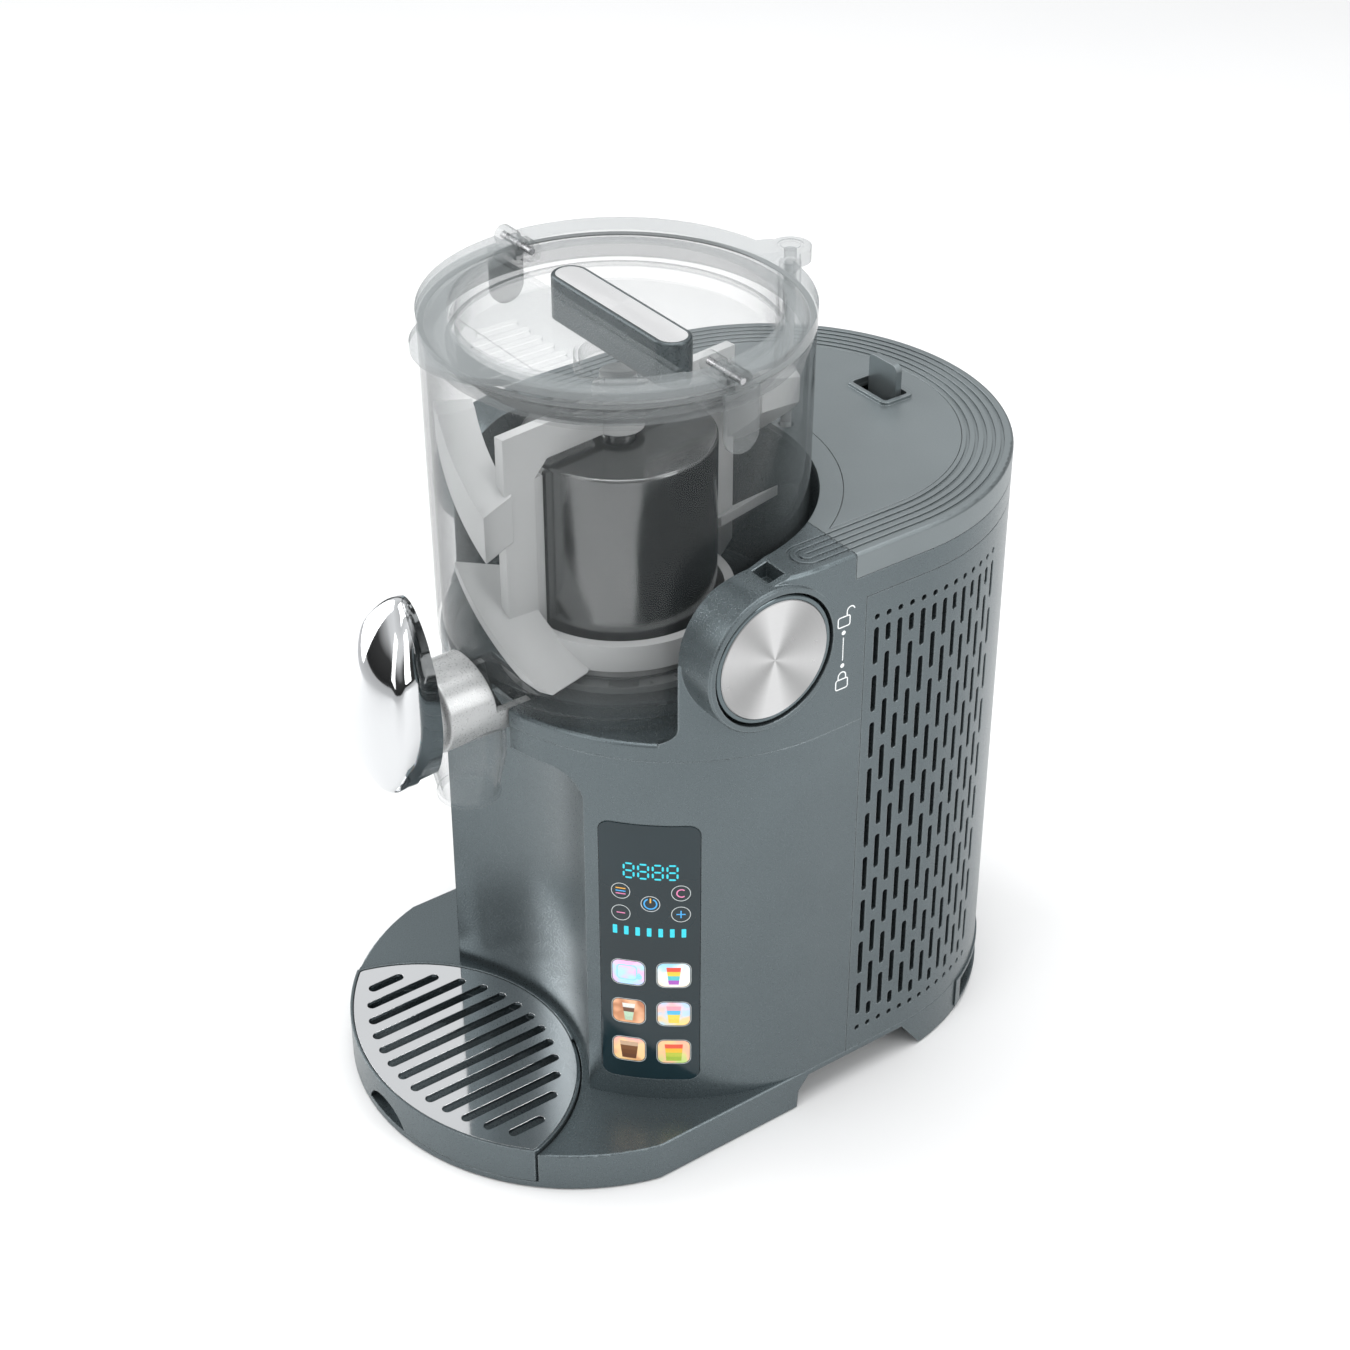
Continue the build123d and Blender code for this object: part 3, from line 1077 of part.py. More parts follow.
def dasher():
    """Stirrer that turns round the drum: hub, two arms, four pitched paddles and a ring."""
    body = disc(HUB_R, ARM_LOW, ARM_TOP + 2)
    body += disc(HUB_R - 3.0, ARM_TOP, ARM_TOP + 8)
    body += tube(COLLAR_R + 2.4, DRUM_R + 3.2, RING_LOW, RING_HIGH)
    room = turned([(0, RING_LOW), (BLADE_R - 4, RING_LOW), (BLADE_R - 1.5, RING_LOW + 5),
                   (BLADE_R, ARM_TOP), (0, ARM_TOP)])
    paddles = flight(UPRIGHT_R + 0.7, BOWL_FLOOR_Z + 20, -39, (-17, 33), 3.6)
    paddles += flight(ARM_R - 3.2, DRUM_TOP - 1, -40, (-34, 3), 16.0)
    paddles &= room
    for turn in (ARM_ANGLE, ARM_ANGLE + 180):
        body += hub_and_arms(turn)
        body += Rot(0, 0, turn) * paddles
    body -= prism(RegularPolygon(SHAFT_R + 0.35, 6), RING_LOW, SHAFT_TOP + 0.5)
    return body - disc(SHAFT_R + 3.6, RING_LOW, DRUM_TOP + 4.2)


def scrapers():
    """Scraping edges between the uprights and the drum."""
    parts = []
    for turn in (ARM_ANGLE, ARM_ANGLE + 180):
        strip = block(DRUM_R + 0.8, UPRIGHT_R, -1.2, 1.2, RING_HIGH + 0.1, DRUM_TOP - 4)
        parts.append(Rot(0, 0, turn) * strip)
    return Compound(children=parts)


def main():
    os.makedirs("parts", exist_ok=True)
    save(base(), "base")
    save(base_plate(True), "front_base_plate")
    save(base_plate(False), "rear_base_plate")
    save(base_screws(), "base_screws")
    save(rubber_feet(), "rubber_feet")
    save(rear_frame(), "rear_recess_frame")
    save(cord_gland(), "cord_gland")
    save(lower_housing(), "lower_housing")
    save(upper_cradle(), "upper_cradle")
    save(rear_shell(), "rear_vent_shell")
    save(top_cover(), "top_cover")
    save(deck_panel(), "deck_panel")
    save(release_tab(), "release_tab")
    save(control_glass(), "control_panel_glass")
    save(display_board(), "display_board")
    save(evaporator_drum(), "evaporator_drum")
    save(drum_flange(), "drum_flange")
    save(drum_seal(), "drum_seal")
    save(evaporator_coil(), "evaporator_coil")
    save(drive_shaft(), "drive_shaft")
    save(gearbox(), "gearbox")
    save(drive_motor(), "drive_motor")
    save(compressor(), "compressor")
    save(compressor_mounts(), "compressor_mounts")
    save(condenser(), "condenser")
    save(fan_shroud(), "fan_shroud")
    save(fan_rotor(), "fan_rotor")
    save(mainboard(), "mainboard")
    save(lid_switch(), "lid_switch")
    for side, word in ((-1, "left"), (1, "right")):
        save(knob(side), "lock_knob_" + word)
        save(knob_disc(side), "knob_disc_" + word)
        save(lock_cam(side), "lock_cam_" + word)
    save(bowl(), "bowl")
    save(bowl_gasket(), "bowl_gasket")
    save(spout_barrel(), "spout_barrel")
    save(nozzle(), "spout_nozzle")
    save(lever(), "dispense_lever")
    save(lever_pins(), "lever_pins")
    save(valve_plunger(), "valve_plunger")
    save(plunger_ring(), "plunger_ring")
    save(dasher(), "dasher")
    save(scrapers(), "dasher_scrapers")
    save(lid_body(), "lid_body")
    save(lid_seal(), "lid_seal")
    save(lid_bar(), "lid_bar")
    save(lid_bar_inlay(), "lid_bar_inlay")
    save(pour_flap(), "pour_flap")
    save(hinge_pins(), "hinge_pins")
    save(interlock_rod(), "interlock_rod")
    save(drip_tray(), "drip_tray")
    save(drip_grille(), "drip_grille")


main()
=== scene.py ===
from math import asin, cos, pi, radians, sin, sqrt

import bmesh
import bpy
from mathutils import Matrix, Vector


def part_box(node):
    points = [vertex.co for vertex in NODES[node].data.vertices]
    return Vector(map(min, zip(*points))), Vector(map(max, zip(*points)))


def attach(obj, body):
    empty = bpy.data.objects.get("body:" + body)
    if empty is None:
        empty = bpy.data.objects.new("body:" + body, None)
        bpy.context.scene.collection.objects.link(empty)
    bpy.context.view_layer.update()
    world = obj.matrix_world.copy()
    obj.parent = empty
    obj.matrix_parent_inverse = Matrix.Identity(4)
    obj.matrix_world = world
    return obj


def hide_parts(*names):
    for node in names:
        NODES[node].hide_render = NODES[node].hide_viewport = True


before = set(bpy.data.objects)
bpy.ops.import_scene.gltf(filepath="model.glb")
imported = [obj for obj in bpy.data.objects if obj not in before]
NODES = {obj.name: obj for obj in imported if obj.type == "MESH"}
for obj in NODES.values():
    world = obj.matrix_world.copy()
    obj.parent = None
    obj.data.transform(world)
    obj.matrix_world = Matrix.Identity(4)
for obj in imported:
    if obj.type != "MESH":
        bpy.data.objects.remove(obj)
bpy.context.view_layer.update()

# Lengths are in millimetres, and turned to metres where a vertex or the camera is placed. Those of
# the lamps and the floor are in metres.
MM = 0.001


def span(node):
    """Lowest corner, highest corner and centre of a CAD node, in millimetres."""
    low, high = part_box(node)
    return low / MM, high / MM, (low + high) / (2 * MM)


AXIS_Y = span("evaporator_drum")[2].y       # the bowl's upright axis
BODY_R = span("lower_housing")[1].x         # half width, and radius of the round ends
FRONT_ROUND_BACK = 28.5                     # centre of the body's front round, behind the bowl's axis
FRONT_ROUND_Y = AXIS_Y + FRONT_ROUND_BACK
_, PANEL_HIGH, PANEL_MID = span("control_panel_glass")


# ---------------------------------------------------------------- materials

def node(tree, kind, **values):
    """A shader node, with its input sockets set by name or its properties."""
    made = tree.nodes.new(kind)
    for key, value in values.items():
        if hasattr(made, key):
            setattr(made, key, value)
        else:
            made.inputs[key.replace("_", " ")].default_value = value
    return made


def blank(name):
    material = bpy.data.materials.new(name)
    material.use_nodes = True
    tree = material.node_tree
    tree.nodes.clear()
    out = tree.nodes.new("ShaderNodeOutputMaterial")
    shader = tree.nodes.new("ShaderNodeBsdfPrincipled")
    tree.links.new(shader.outputs["BSDF"], out.inputs["Surface"])
    return material, tree, shader


def noise(tree, scale, detail=2.0, stretch=None):
    """Noise in object space, finer along an axis where stretch is larger."""
    coords = tree.nodes.new("ShaderNodeTexCoord")
    source = coords.outputs["Object"]
    if stretch:
        mapping = node(tree, "ShaderNodeMapping", Scale=stretch)
        tree.links.new(source, mapping.inputs["Vector"])
        source = mapping.outputs["Vector"]
    texture = node(tree, "ShaderNodeTexNoise", Scale=scale, Detail=detail)
    tree.links.new(source, texture.inputs["Vector"])
    return texture.outputs["Fac"]


def ranged(tree, source, low, high, start=0.3, end=0.7):
    mapped = tree.nodes.new("ShaderNodeMapRange")
    for key, value in (("From Min", start), ("From Max", end), ("To Min", low), ("To Max", high)):
        mapped.inputs[key].default_value = value
    tree.links.new(source, mapped.inputs["Value"])
    return mapped.outputs["Result"]


def mixed(tree, factor, first, second):
    """A colour between two, by a factor socket; either colour may be a socket."""
    mix = tree.nodes.new("ShaderNodeMix")
    mix.data_type = "RGBA"
    tree.links.new(factor, mix.inputs[0])
    for socket, value in ((mix.inputs[6], first), (mix.inputs[7], second)):
        if isinstance(value, bpy.types.NodeSocket):
            tree.links.new(value, socket)
        else:
            socket.default_value = (*value, 1.0)
    return mix.outputs[2]


def edge_mask(tree, radius):
    """Rounded normal near sharp edges, and a mask that is 1 on those edges."""
    bevel = node(tree, "ShaderNodeBevel", samples=4, Radius=radius * MM)
    geometry = tree.nodes.new("ShaderNodeNewGeometry")
    dot = node(tree, "ShaderNodeVectorMath", operation="DOT_PRODUCT")
    tree.links.new(bevel.outputs["Normal"], dot.inputs[0])
    tree.links.new(geometry.outputs["Normal"], dot.inputs[1])
    return bevel.outputs["Normal"], ranged(tree, dot.outputs["Value"], 1.0, 0.0, 0.9, 0.995)


def surface(name, color, roughness, metallic=0.0, grain=900, depth=0.02, tint=0.06, spread=0.05,
            edge=0.5, edge_highlight=0.25, stretch=None):
    """A moulded or metal finish: fine grain, broad variation, and rounded edges with a painted highlight.

    grain is the grain's fineness, depth its height, and edge the radius of the rounding.
    """
    material, tree, shader = blank(name)
    shader.inputs["Metallic"].default_value = metallic
    broad = noise(tree, 14.0, 3.0)
    fine = noise(tree, grain, 2.0, stretch)
    darker = tuple(c * (1 - tint) for c in color)
    lighter = tuple(min(1.0, c * (1 + tint)) for c in color)
    base = mixed(tree, ranged(tree, broad, 0.0, 1.0), darker, lighter)
    normal, mask = edge_mask(tree, edge)
    # Painted highlight: near sharp edges the colour is mixed towards a lighter one, by the edge mask and a
    # random strength.
    edge_highlight_mask = node(tree, "ShaderNodeMath", operation="MULTIPLY")
    tree.links.new(mask, edge_highlight_mask.inputs[0])
    tree.links.new(ranged(tree, noise(tree, 60.0), edge_highlight * 0.6, edge_highlight), edge_highlight_mask.inputs[1])
    bright = tuple(min(1.0, c * 1.5 + 0.12) for c in color)
    tree.links.new(mixed(tree, edge_highlight_mask.outputs[0], base, bright), shader.inputs["Base Color"])
    rough = ranged(tree, fine, roughness - spread, roughness + spread)
    tree.links.new(rough, shader.inputs["Roughness"])
    bump = node(tree, "ShaderNodeBump", Strength=0.35, Distance=depth * MM)
    tree.links.new(fine, bump.inputs["Height"])
    tree.links.new(normal, bump.inputs["Normal"])
    tree.links.new(bump.outputs["Normal"], shader.inputs["Normal"])
    return material


def from_axis(tree, axis, centre):
    """Position from a centre, and distance from the line along an axis through that centre."""
    coords = tree.nodes.new("ShaderNodeTexCoord")
    shift = node(tree, "ShaderNodeVectorMath", operation="SUBTRACT")
    shift.inputs[1].default_value = [c * MM for c in centre]
    tree.links.new(coords.outputs["Object"], shift.inputs[0])
    flat = node(tree, "ShaderNodeVectorMath", operation="MULTIPLY")
    flat.inputs[1].default_value = [0.0 if a == axis else 1.0 for a in "XYZ"]
    tree.links.new(shift.outputs["Vector"], flat.inputs[0])
    reach = node(tree, "ShaderNodeVectorMath", operation="LENGTH")
    tree.links.new(flat.outputs["Vector"], reach.inputs[0])
    return shift.outputs["Vector"], reach.outputs["Value"]


def rim_band(tree, inner):
    """1 outside a radius about the bowl's axis and 0 inside it."""
    fade = 0.6
    _, reach = from_axis(tree, "Z", (0.0, AXIS_Y, 0.0))
    return ranged(tree, reach, 0.0, 1.0, inner * MM, (inner + fade) * MM)


def clear_plastic(name, color, thin, power=3.2, rim=None):
    """Smoky clear plastic: see-through where it is seen squarely, dark towards its outline.

    thin is the opacity seen squarely. rim is a radius about the bowl's axis, and the opacity
    added outside it.
    """
    dense = 0.92
    roughness = 0.02
    material, tree, shader = blank(name)
    shader.inputs["IOR"].default_value = 1.6
    shader.inputs["Specular IOR Level"].default_value = 0.9
    smudge = noise(tree, 22.0, 3.0)
    facing = node(tree, "ShaderNodeLayerWeight", Blend=0.5)
    steep = node(tree, "ShaderNodeMath", operation="POWER")
    steep.inputs[1].default_value = power
    tree.links.new(facing.outputs["Facing"], steep.inputs[0])
    darker = tuple(c * 0.85 for c in color)
    outline = tuple(c * 0.22 for c in color)
    body = mixed(tree, ranged(tree, smudge, 0.0, 1.0), darker, color)
    tree.links.new(mixed(tree, ranged(tree, steep.outputs[0], 0.0, 1.0, 0.2, 0.8), body, outline),
                   shader.inputs["Base Color"])
    tree.links.new(ranged(tree, smudge, roughness, roughness + 0.03), shader.inputs["Roughness"])
    alpha = ranged(tree, steep.outputs[0], thin, dense, 0.0, 1.0)
    if rim:
        thicker = node(tree, "ShaderNodeMath", operation="MULTIPLY_ADD")
        thicker.inputs[1].default_value = rim[1]
        tree.links.new(rim_band(tree, rim[0]), thicker.inputs[0])
        tree.links.new(alpha, thicker.inputs[2])
        alpha = thicker.outputs[0]
    tree.links.new(alpha, shader.inputs["Alpha"])
    ripple = node(tree, "ShaderNodeBump", Strength=0.06, Distance=0.3 * MM)
    tree.links.new(noise(tree, 35.0, 1.0), ripple.inputs["Height"])
    tree.links.new(ripple.outputs["Normal"], shader.inputs["Normal"])
    return material


def wave(tree, angle, count, phase):
    """0 to 1 and back, a number of times round a circle."""
    turn = node(tree, "ShaderNodeMath", operation="MULTIPLY_ADD")
    turn.inputs[1].default_value = count
    turn.inputs[2].default_value = phase
    tree.links.new(angle, turn.inputs[0])
    cosine = node(tree, "ShaderNodeMath", operation="COSINE")
    tree.links.new(turn.outputs[0], cosine.inputs[0])
    return ranged(tree, cosine.outputs[0], 0.0, 1.0, -1.0, 1.0)


def spun_metal(name, color, axis, centre, anisotropy=0.85, shade_low=0.5):
    """Metal turned on a lathe: fine rings about an axis, with fans of painted highlight between fans of
    painted shade.
    """
    roughness = 0.3
    material, tree, shader = blank(name)
    shader.inputs["Metallic"].default_value = 1.0
    shader.inputs["Anisotropic"].default_value = anisotropy
    shift, reach = from_axis(tree, axis, centre)
    rings = node(tree, "ShaderNodeTexNoise", Scale=5200.0, Detail=3.0, noise_dimensions="1D")
    tree.links.new(reach, rings.inputs["W"])
    patches = noise(tree, 120.0, 2.0)
    split = tree.nodes.new("ShaderNodeSeparateXYZ")
    tree.links.new(shift, split.inputs[0])
    across, along = [a for a in "XYZ" if a != axis]
    angle = node(tree, "ShaderNodeMath", operation="ARCTAN2")
    tree.links.new(split.outputs[along], angle.inputs[0])
    tree.links.new(split.outputs[across], angle.inputs[1])
    # Painted highlight and painted shade: the colour goes lighter and darker in fans round the axis, as
    # turned metal catches the light.
    highlight_fans = node(tree, "ShaderNodeMath", operation="MULTIPLY")
    tree.links.new(wave(tree, angle.outputs[0], 4.0, 0.6), highlight_fans.inputs[0])
    tree.links.new(wave(tree, angle.outputs[0], 2.0, 2.2), highlight_fans.inputs[1])
    sheen = ranged(tree, highlight_fans.outputs[0], 0.0, 1.0, 0.0, 0.6)
    darker = tuple(c * 0.86 for c in color)
    ringed = mixed(tree, ranged(tree, rings.outputs["Fac"], 0.0, 1.0), darker, color)
    low, high = (tuple(c * share for c in color) for share in (shade_low, shade_low + 0.1))
    shade = mixed(tree, ranged(tree, rings.outputs["Fac"], 0.0, 1.0), low, high)
    tree.links.new(mixed(tree, sheen, shade, ringed), shader.inputs["Base Color"])
    tree.links.new(ranged(tree, patches, roughness - 0.03, roughness + 0.03), shader.inputs["Roughness"])
    tangent = node(tree, "ShaderNodeTangent", direction_type="RADIAL", axis=axis)
    tree.links.new(tangent.outputs["Tangent"], shader.inputs["Tangent"])
    bump = node(tree, "ShaderNodeBump", Strength=0.25, Distance=0.01 * MM)
    tree.links.new(rings.outputs["Fac"], bump.inputs["Height"])
    tree.links.new(bump.outputs["Normal"], shader.inputs["Normal"])
    return material


def lit(name, color, glow):
    """Printed or lit marking on the panel."""
    material, tree, shader = blank(name)
    fine = noise(tree, 2500.0)
    darker = tuple(c * 0.85 for c in color)
    tone = mixed(tree, ranged(tree, fine, 0.0, 1.0), darker, color)
    tree.links.new(tone, shader.inputs["Base Color"])
    tree.links.new(tone, shader.inputs["Emission Color"])
    shader.inputs["Emission Strength"].default_value = glow
    tree.links.new(ranged(tree, fine, 0.32, 0.42), shader.inputs["Roughness"])
    return material


def picture(name, low, high, cross):
    """Soft two-way colour gradient behind a picture button."""
    material, tree, shader = blank(name)
    coords = tree.nodes.new("ShaderNodeTexCoord")
    split = tree.nodes.new("ShaderNodeSeparateXYZ")
    tree.links.new(coords.outputs["Generated"], split.inputs[0])
    blobs = noise(tree, 160.0, 1.0)
    tall = mixed(tree, split.outputs["Z"], low, high)
    tone = mixed(tree, ranged(tree, blobs, 0.0, 0.8, 0.42, 0.62), tall, cross)
    tree.links.new(tone, shader.inputs["Base Color"])
    tree.links.new(tone, shader.inputs["Emission Color"])
    shader.inputs["Emission Strength"].default_value = 0.35
    shader.inputs["Roughness"].default_value = 0.35
    return material


def dress(material, *names):
    """Give CAD nodes a finish of their own."""
    for name in names:
        mesh = NODES[name].data
        mesh.materials.clear()
        mesh.materials.append(material)


HOUSING = (0.118, 0.143, 0.152)
COVER = (0.205, 0.232, 0.240)


def dress_housing():
    """Housing, base, panels and feet."""
    satin = surface("satin_housing", HOUSING, 0.30, metallic=0.72, grain=1500, depth=0.03, edge=0.8,
                    edge_highlight=0.6)
    dress(satin, "lower_housing", "upper_cradle", "rear_vent_shell", "base", "drip_tray",
          "rear_recess_frame")
    cover = surface("satin_cover", COVER, 0.38, metallic=0.75, grain=1500, depth=0.03, edge=0.5, edge_highlight=0.5)
    dress(cover, "top_cover", "deck_panel", "release_tab")
    dress(surface("panel_black", (0.006, 0.020, 0.026), 0.12, grain=700, depth=0.004, tint=0.2, edge=0.3,
                  edge_highlight=0.1), "control_panel_glass")
    dress(surface("moulded_black", (0.02, 0.02, 0.022), 0.5, grain=1400, depth=0.04, tint=0.15),
          "front_base_plate", "rear_base_plate", "cord_gland", "fan_shroud", "fan_rotor", "lid_switch")
    dress(surface("matt_rubber", (0.018, 0.018, 0.018), 0.8, grain=1800, depth=0.06, tint=0.2),
          "rubber_feet", "compressor_mounts")


def dress_bright_metal():
    """Knobs, turned discs, grille, drum and lever. Gives the lever's chrome."""
    ring = surface("knob_ring_gloss", (0.13, 0.16, 0.17), 0.16, metallic=0.9, grain=600, depth=0.005)
    dress(ring, "lock_knob_left", "lock_knob_right")
    for side in ("left", "right"):
        spun = spun_metal("spun_disc_" + side, (0.66, 0.66, 0.66), "X", span("knob_disc_" + side)[2])
        dress(spun, "knob_disc_" + side)
    inlay = span("lid_bar_inlay")[2]
    brushed = spun_metal("spun_inlay", (0.98, 0.98, 0.98), "Z", inlay, shade_low=0.85, anisotropy=0.4)
    dress(brushed, "lid_bar_inlay")
    polished = surface("mirror_steel", (0.66, 0.67, 0.68), 0.06, metallic=1.0, grain=300, depth=0.003,
                       tint=0.02, spread=0.02, edge=0.3, edge_highlight=0.2)
    dress(polished, "drip_grille")
    drum = surface("satin_drum", (0.17, 0.175, 0.175), 0.20, metallic=1.0, grain=300, depth=0.003,
                   tint=0.04, edge=0.5, edge_highlight=0.6)
    dress(drum, "evaporator_drum")
    chrome = surface("lever_chrome", (0.66, 0.67, 0.68), 0.05, metallic=1.0, grain=250, depth=0.002,
                     tint=0.02, spread=0.015, edge=0.6, edge_highlight=0.1)
    dress(chrome, "dispense_lever")
    return chrome


def dress_bowl():
    """Bowl, lid, spout and dasher: clear parts, and the plastic and rubber parts that go with them."""
    dress(clear_plastic("clear_bowl", (0.15, 0.17, 0.175), 0.07), "bowl")
    dress(clear_plastic("clear_lid", (0.26, 0.285, 0.29), 0.015, power=3.6, rim=(65.6, 0.24)),
          "lid_body", "pour_flap")
    dress(clear_plastic("clear_nozzle", (0.30, 0.33, 0.34), 0.08), "spout_nozzle")
    bar = surface("satin_bar", (0.075, 0.09, 0.095), 0.30, metallic=0.7, grain=1500, depth=0.02, edge=0.8,
                  edge_highlight=0.6)
    dress(bar, "lid_bar")
    light = surface("satin_light_plastic", (0.60, 0.61, 0.61), 0.45, grain=1200, depth=0.03, tint=0.04,
                    edge_highlight=0.2)
    dress(light, "dasher", "dasher_scrapers", "valve_plunger", "interlock_rod", "lock_cam_left",
          "lock_cam_right", "drum_flange")
    barrel = surface("satin_barrel", (0.50, 0.51, 0.51), 0.30, metallic=0.35, grain=1200, depth=0.03,
                     tint=0.04)
    dress(barrel, "spout_barrel")
    dress(surface("silicone_seal", (0.20, 0.21, 0.21), 0.6, grain=1600, depth=0.03),
          "drum_seal", "bowl_gasket", "plunger_ring", "lid_seal")


def dress_inside():
    """Machinery, boards and small steel parts."""
    dress(surface("plain_steel", (0.42, 0.42, 0.43), 0.28, metallic=1.0, grain=800, depth=0.01,
                  stretch=(1.0, 1.0, 6.0)),
          "base_screws", "drive_shaft", "gearbox", "lever_pins", "hinge_pins")
    dress(surface("black_enamel", (0.012, 0.012, 0.013), 0.3, grain=900, depth=0.02, tint=0.2),
          "compressor", "drive_motor")
    dress(surface("circuit_lacquer", (0.012, 0.10, 0.035), 0.35, grain=900, depth=0.02, tint=0.2),
          "display_board", "mainboard")
    dress(surface("drawn_copper", (0.60, 0.28, 0.16), 0.25, metallic=1.0, grain=700, depth=0.01),
          "evaporator_coil")
    dress(surface("finned_aluminium", (0.60, 0.61, 0.62), 0.35, metallic=1.0, grain=900, depth=0.02),
          "condenser")


# ---------------------------------------------------------------- mesh helpers

def piece(name, bm, material, body, smooth=True):
    """Turn a bmesh into a piece that rides on a body."""
    bmesh.ops.remove_doubles(bm, verts=bm.verts, dist=1e-7)
    bmesh.ops.recalc_face_normals(bm, faces=bm.faces)
    mesh = bpy.data.meshes.new(name)
    bm.to_mesh(mesh)
    bm.free()
    for polygon in mesh.polygons:
        polygon.use_smooth = smooth
    mesh.materials.append(material)
    made = bpy.data.objects.new(name, mesh)
    bpy.context.scene.collection.objects.link(made)
    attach(made, body)
    return made


def rounded(width, height, radius, u=0.0, v=0.0, steps=6):
    """Outline of a rounded rectangle about a point."""
    points = []
    for corner, (sx, sy) in enumerate(((1, 1), (-1, 1), (-1, -1), (1, -1))):
        for i in range(steps + 1):
            turn = (corner + i / steps) * pi / 2
            points.append((u + sx * (width / 2 - radius) + radius * cos(turn),
                           v + sy * (height / 2 - radius) + radius * sin(turn)))
    return points


def arc(radius, start, end, u=0.0, v=0.0, steps=28):
    """Points along an arc, by angles in degrees from the u axis."""
    turns = [radians(start + (end - start) * i / steps) for i in range(steps + 1)]
    return [(u + radius * cos(t), v + radius * sin(t)) for t in turns]


def stroke(points, width, closed=False):
    """Four-sided faces along a line of the given width."""
    count = len(points)
    sides = []
    for i, (u, v) in enumerate(points):
        before = points[(i - 1) % count] if closed or i > 0 else points[i]
        after = points[(i + 1) % count] if closed or i < count - 1 else points[i]
        du, dv = after[0] - before[0], after[1] - before[1]
        length = sqrt(du * du + dv * dv) or 1.0
        nu, nv = -dv / length * width / 2, du / length * width / 2
        sides.append(((u + nu, v + nv), (u - nu, v - nv)))
    pairs = list(zip(sides, sides[1:] + sides[:1] if closed else sides[1:]))
    return [[a[0], a[1], b[1], b[0]] for a, b in pairs]


def decal(name, faces, place, material, body, slot, thick=0.08, step=1.0):
    """Thin inlay: flat faces in u and v, cut into narrow strips, thickened and laid on a surface."""
    bm = bmesh.new()
    for face in faces:
        bm.faces.new([bm.verts.new((u, v, 0.0)) for u, v in face])
    bmesh.ops.remove_doubles(bm, verts=bm.verts, dist=1e-5)
    low = min(v.co.x for v in bm.verts)
    high = max(v.co.x for v in bm.verts)
    cut = low + step
    while cut < high - 0.01:
        everything = bm.verts[:] + bm.edges[:] + bm.faces[:]
        bmesh.ops.bisect_plane(bm, geom=everything, plane_co=(cut, 0, 0), plane_no=(1, 0, 0))
        cut += step
    raised = bmesh.ops.extrude_face_region(bm, geom=bm.faces[:])
    for vert in [g for g in raised["geom"] if isinstance(g, bmesh.types.BMVert)]:
        vert.co.z += thick
    for vert in bm.verts:
        vert.co = Vector(place(*vert.co)) * MM
    return piece(name, bm, material, body, smooth=False)


# ---------------------------------------------------------------- control panel

PANEL_GLASS_LIFT = 0.25                     # how far the glass stands out of the housing
PANEL_EDGE = asin(PANEL_HIGH.x / (BODY_R + PANEL_GLASS_LIFT))
PANEL_HALF = radians(12.08)                 # from the glass's edge to the middle of the markings
PANEL_MIDDLE = PANEL_EDGE - PANEL_HALF
DECAL_SINK = 0.04                           # how far a marking's underside lies below the surface


def on_panel(u, v, w):
    """Point on the panel: u to the right and v up from its middle, w out of the glass."""
    radius = BODY_R + PANEL_GLASS_LIFT - DECAL_SINK + w
    turn = PANEL_MIDDLE + u / radius
    return radius * sin(turn), FRONT_ROUND_Y - radius * cos(turn), PANEL_MID.z + v


def on_side(side):
    """Place for markings on a flat side of the body: u back from the bowl's axis, v up from the floor."""
    def place(u, v, w):
        return side * (BODY_R - DECAL_SINK + w), AXIS_Y + u, v
    return place


SEGMENTS = ((-1, 1, 1, 1), (-1, 0, 1, 0), (-1, -1, 1, -1), (-1, 0, -1, 1), (1, 0, 1, 1),
            (-1, -1, -1, 0), (1, -1, 1, 0))


def digit(u, v, half_w, half_h, width):
    """The seven segments of one digit, all lit."""
    faces = []
    inset = width * 0.62
    for x0, y0, x1, y1 in SEGMENTS:
        across = x0 != x1
        du, dv = (inset, 0) if across else (0, inset)
        a = (u + x0 * half_w + du, v + y0 * half_h + dv)
        b = (u + x1 * half_w - du, v + y1 * half_h - dv)
        tip = width / 2
        if across:
            faces.append([a, (a[0] + tip, a[1] - tip), (b[0] - tip, b[1] - tip), b,
                          (b[0] - tip, b[1] + tip), (a[0] + tip, a[1] + tip)])
        else:
            faces.append([a, (a[0] + tip, a[1] + tip), (b[0] + tip, b[1] - tip), b,
                          (b[0] - tip, b[1] - tip), (a[0] - tip, a[1] + tip)])
    return faces


# Places on the panel, from its middle: u to the right and v up.
DIGIT_START = -8.3
DIGIT_PITCH = 6.0
DIGIT_V = 44.5
DIGIT_HALF_W = 2.05
DIGIT_HALF_H = 3.6
SEGMENT_W = 0.85
LEVEL_START = -14.4
LEVEL_PITCH = 4.8
LEVEL_V = 13.0
LEVEL_W = 1.9
LEVEL_H = 4.4
ICON_SPOTS = {"menu": (-11.8, 33.4), "unit": (13.2, 34.0), "power": (0.6, 28.0), "minus": (-11.8, 22.0),
              "plus": (13.2, 23.0)}
ICON_R = 3.9
ICON_RING_W = 0.28
ICON_LINE_W = 0.5
PICTURE_COLUMNS = (-9.0, 10.2)
PICTURE_ROWS = (-9.6, -30.8, -52.0)
PICTURE_W = 13.6
PICTURE_H = 12.4
PICTURE_ROUND = 3.0
PICTURE_RIM = 0.9                           # how much wider the line round a picture is
CUP_FOOT = -5.0                             # lower and upper end of a cup, from its picture's middle
CUP_LIP = 4.2


def on_glass(name, faces, material, **sizes):
    decal(name, faces, on_panel, material, "machine", "panel_glass", **sizes)


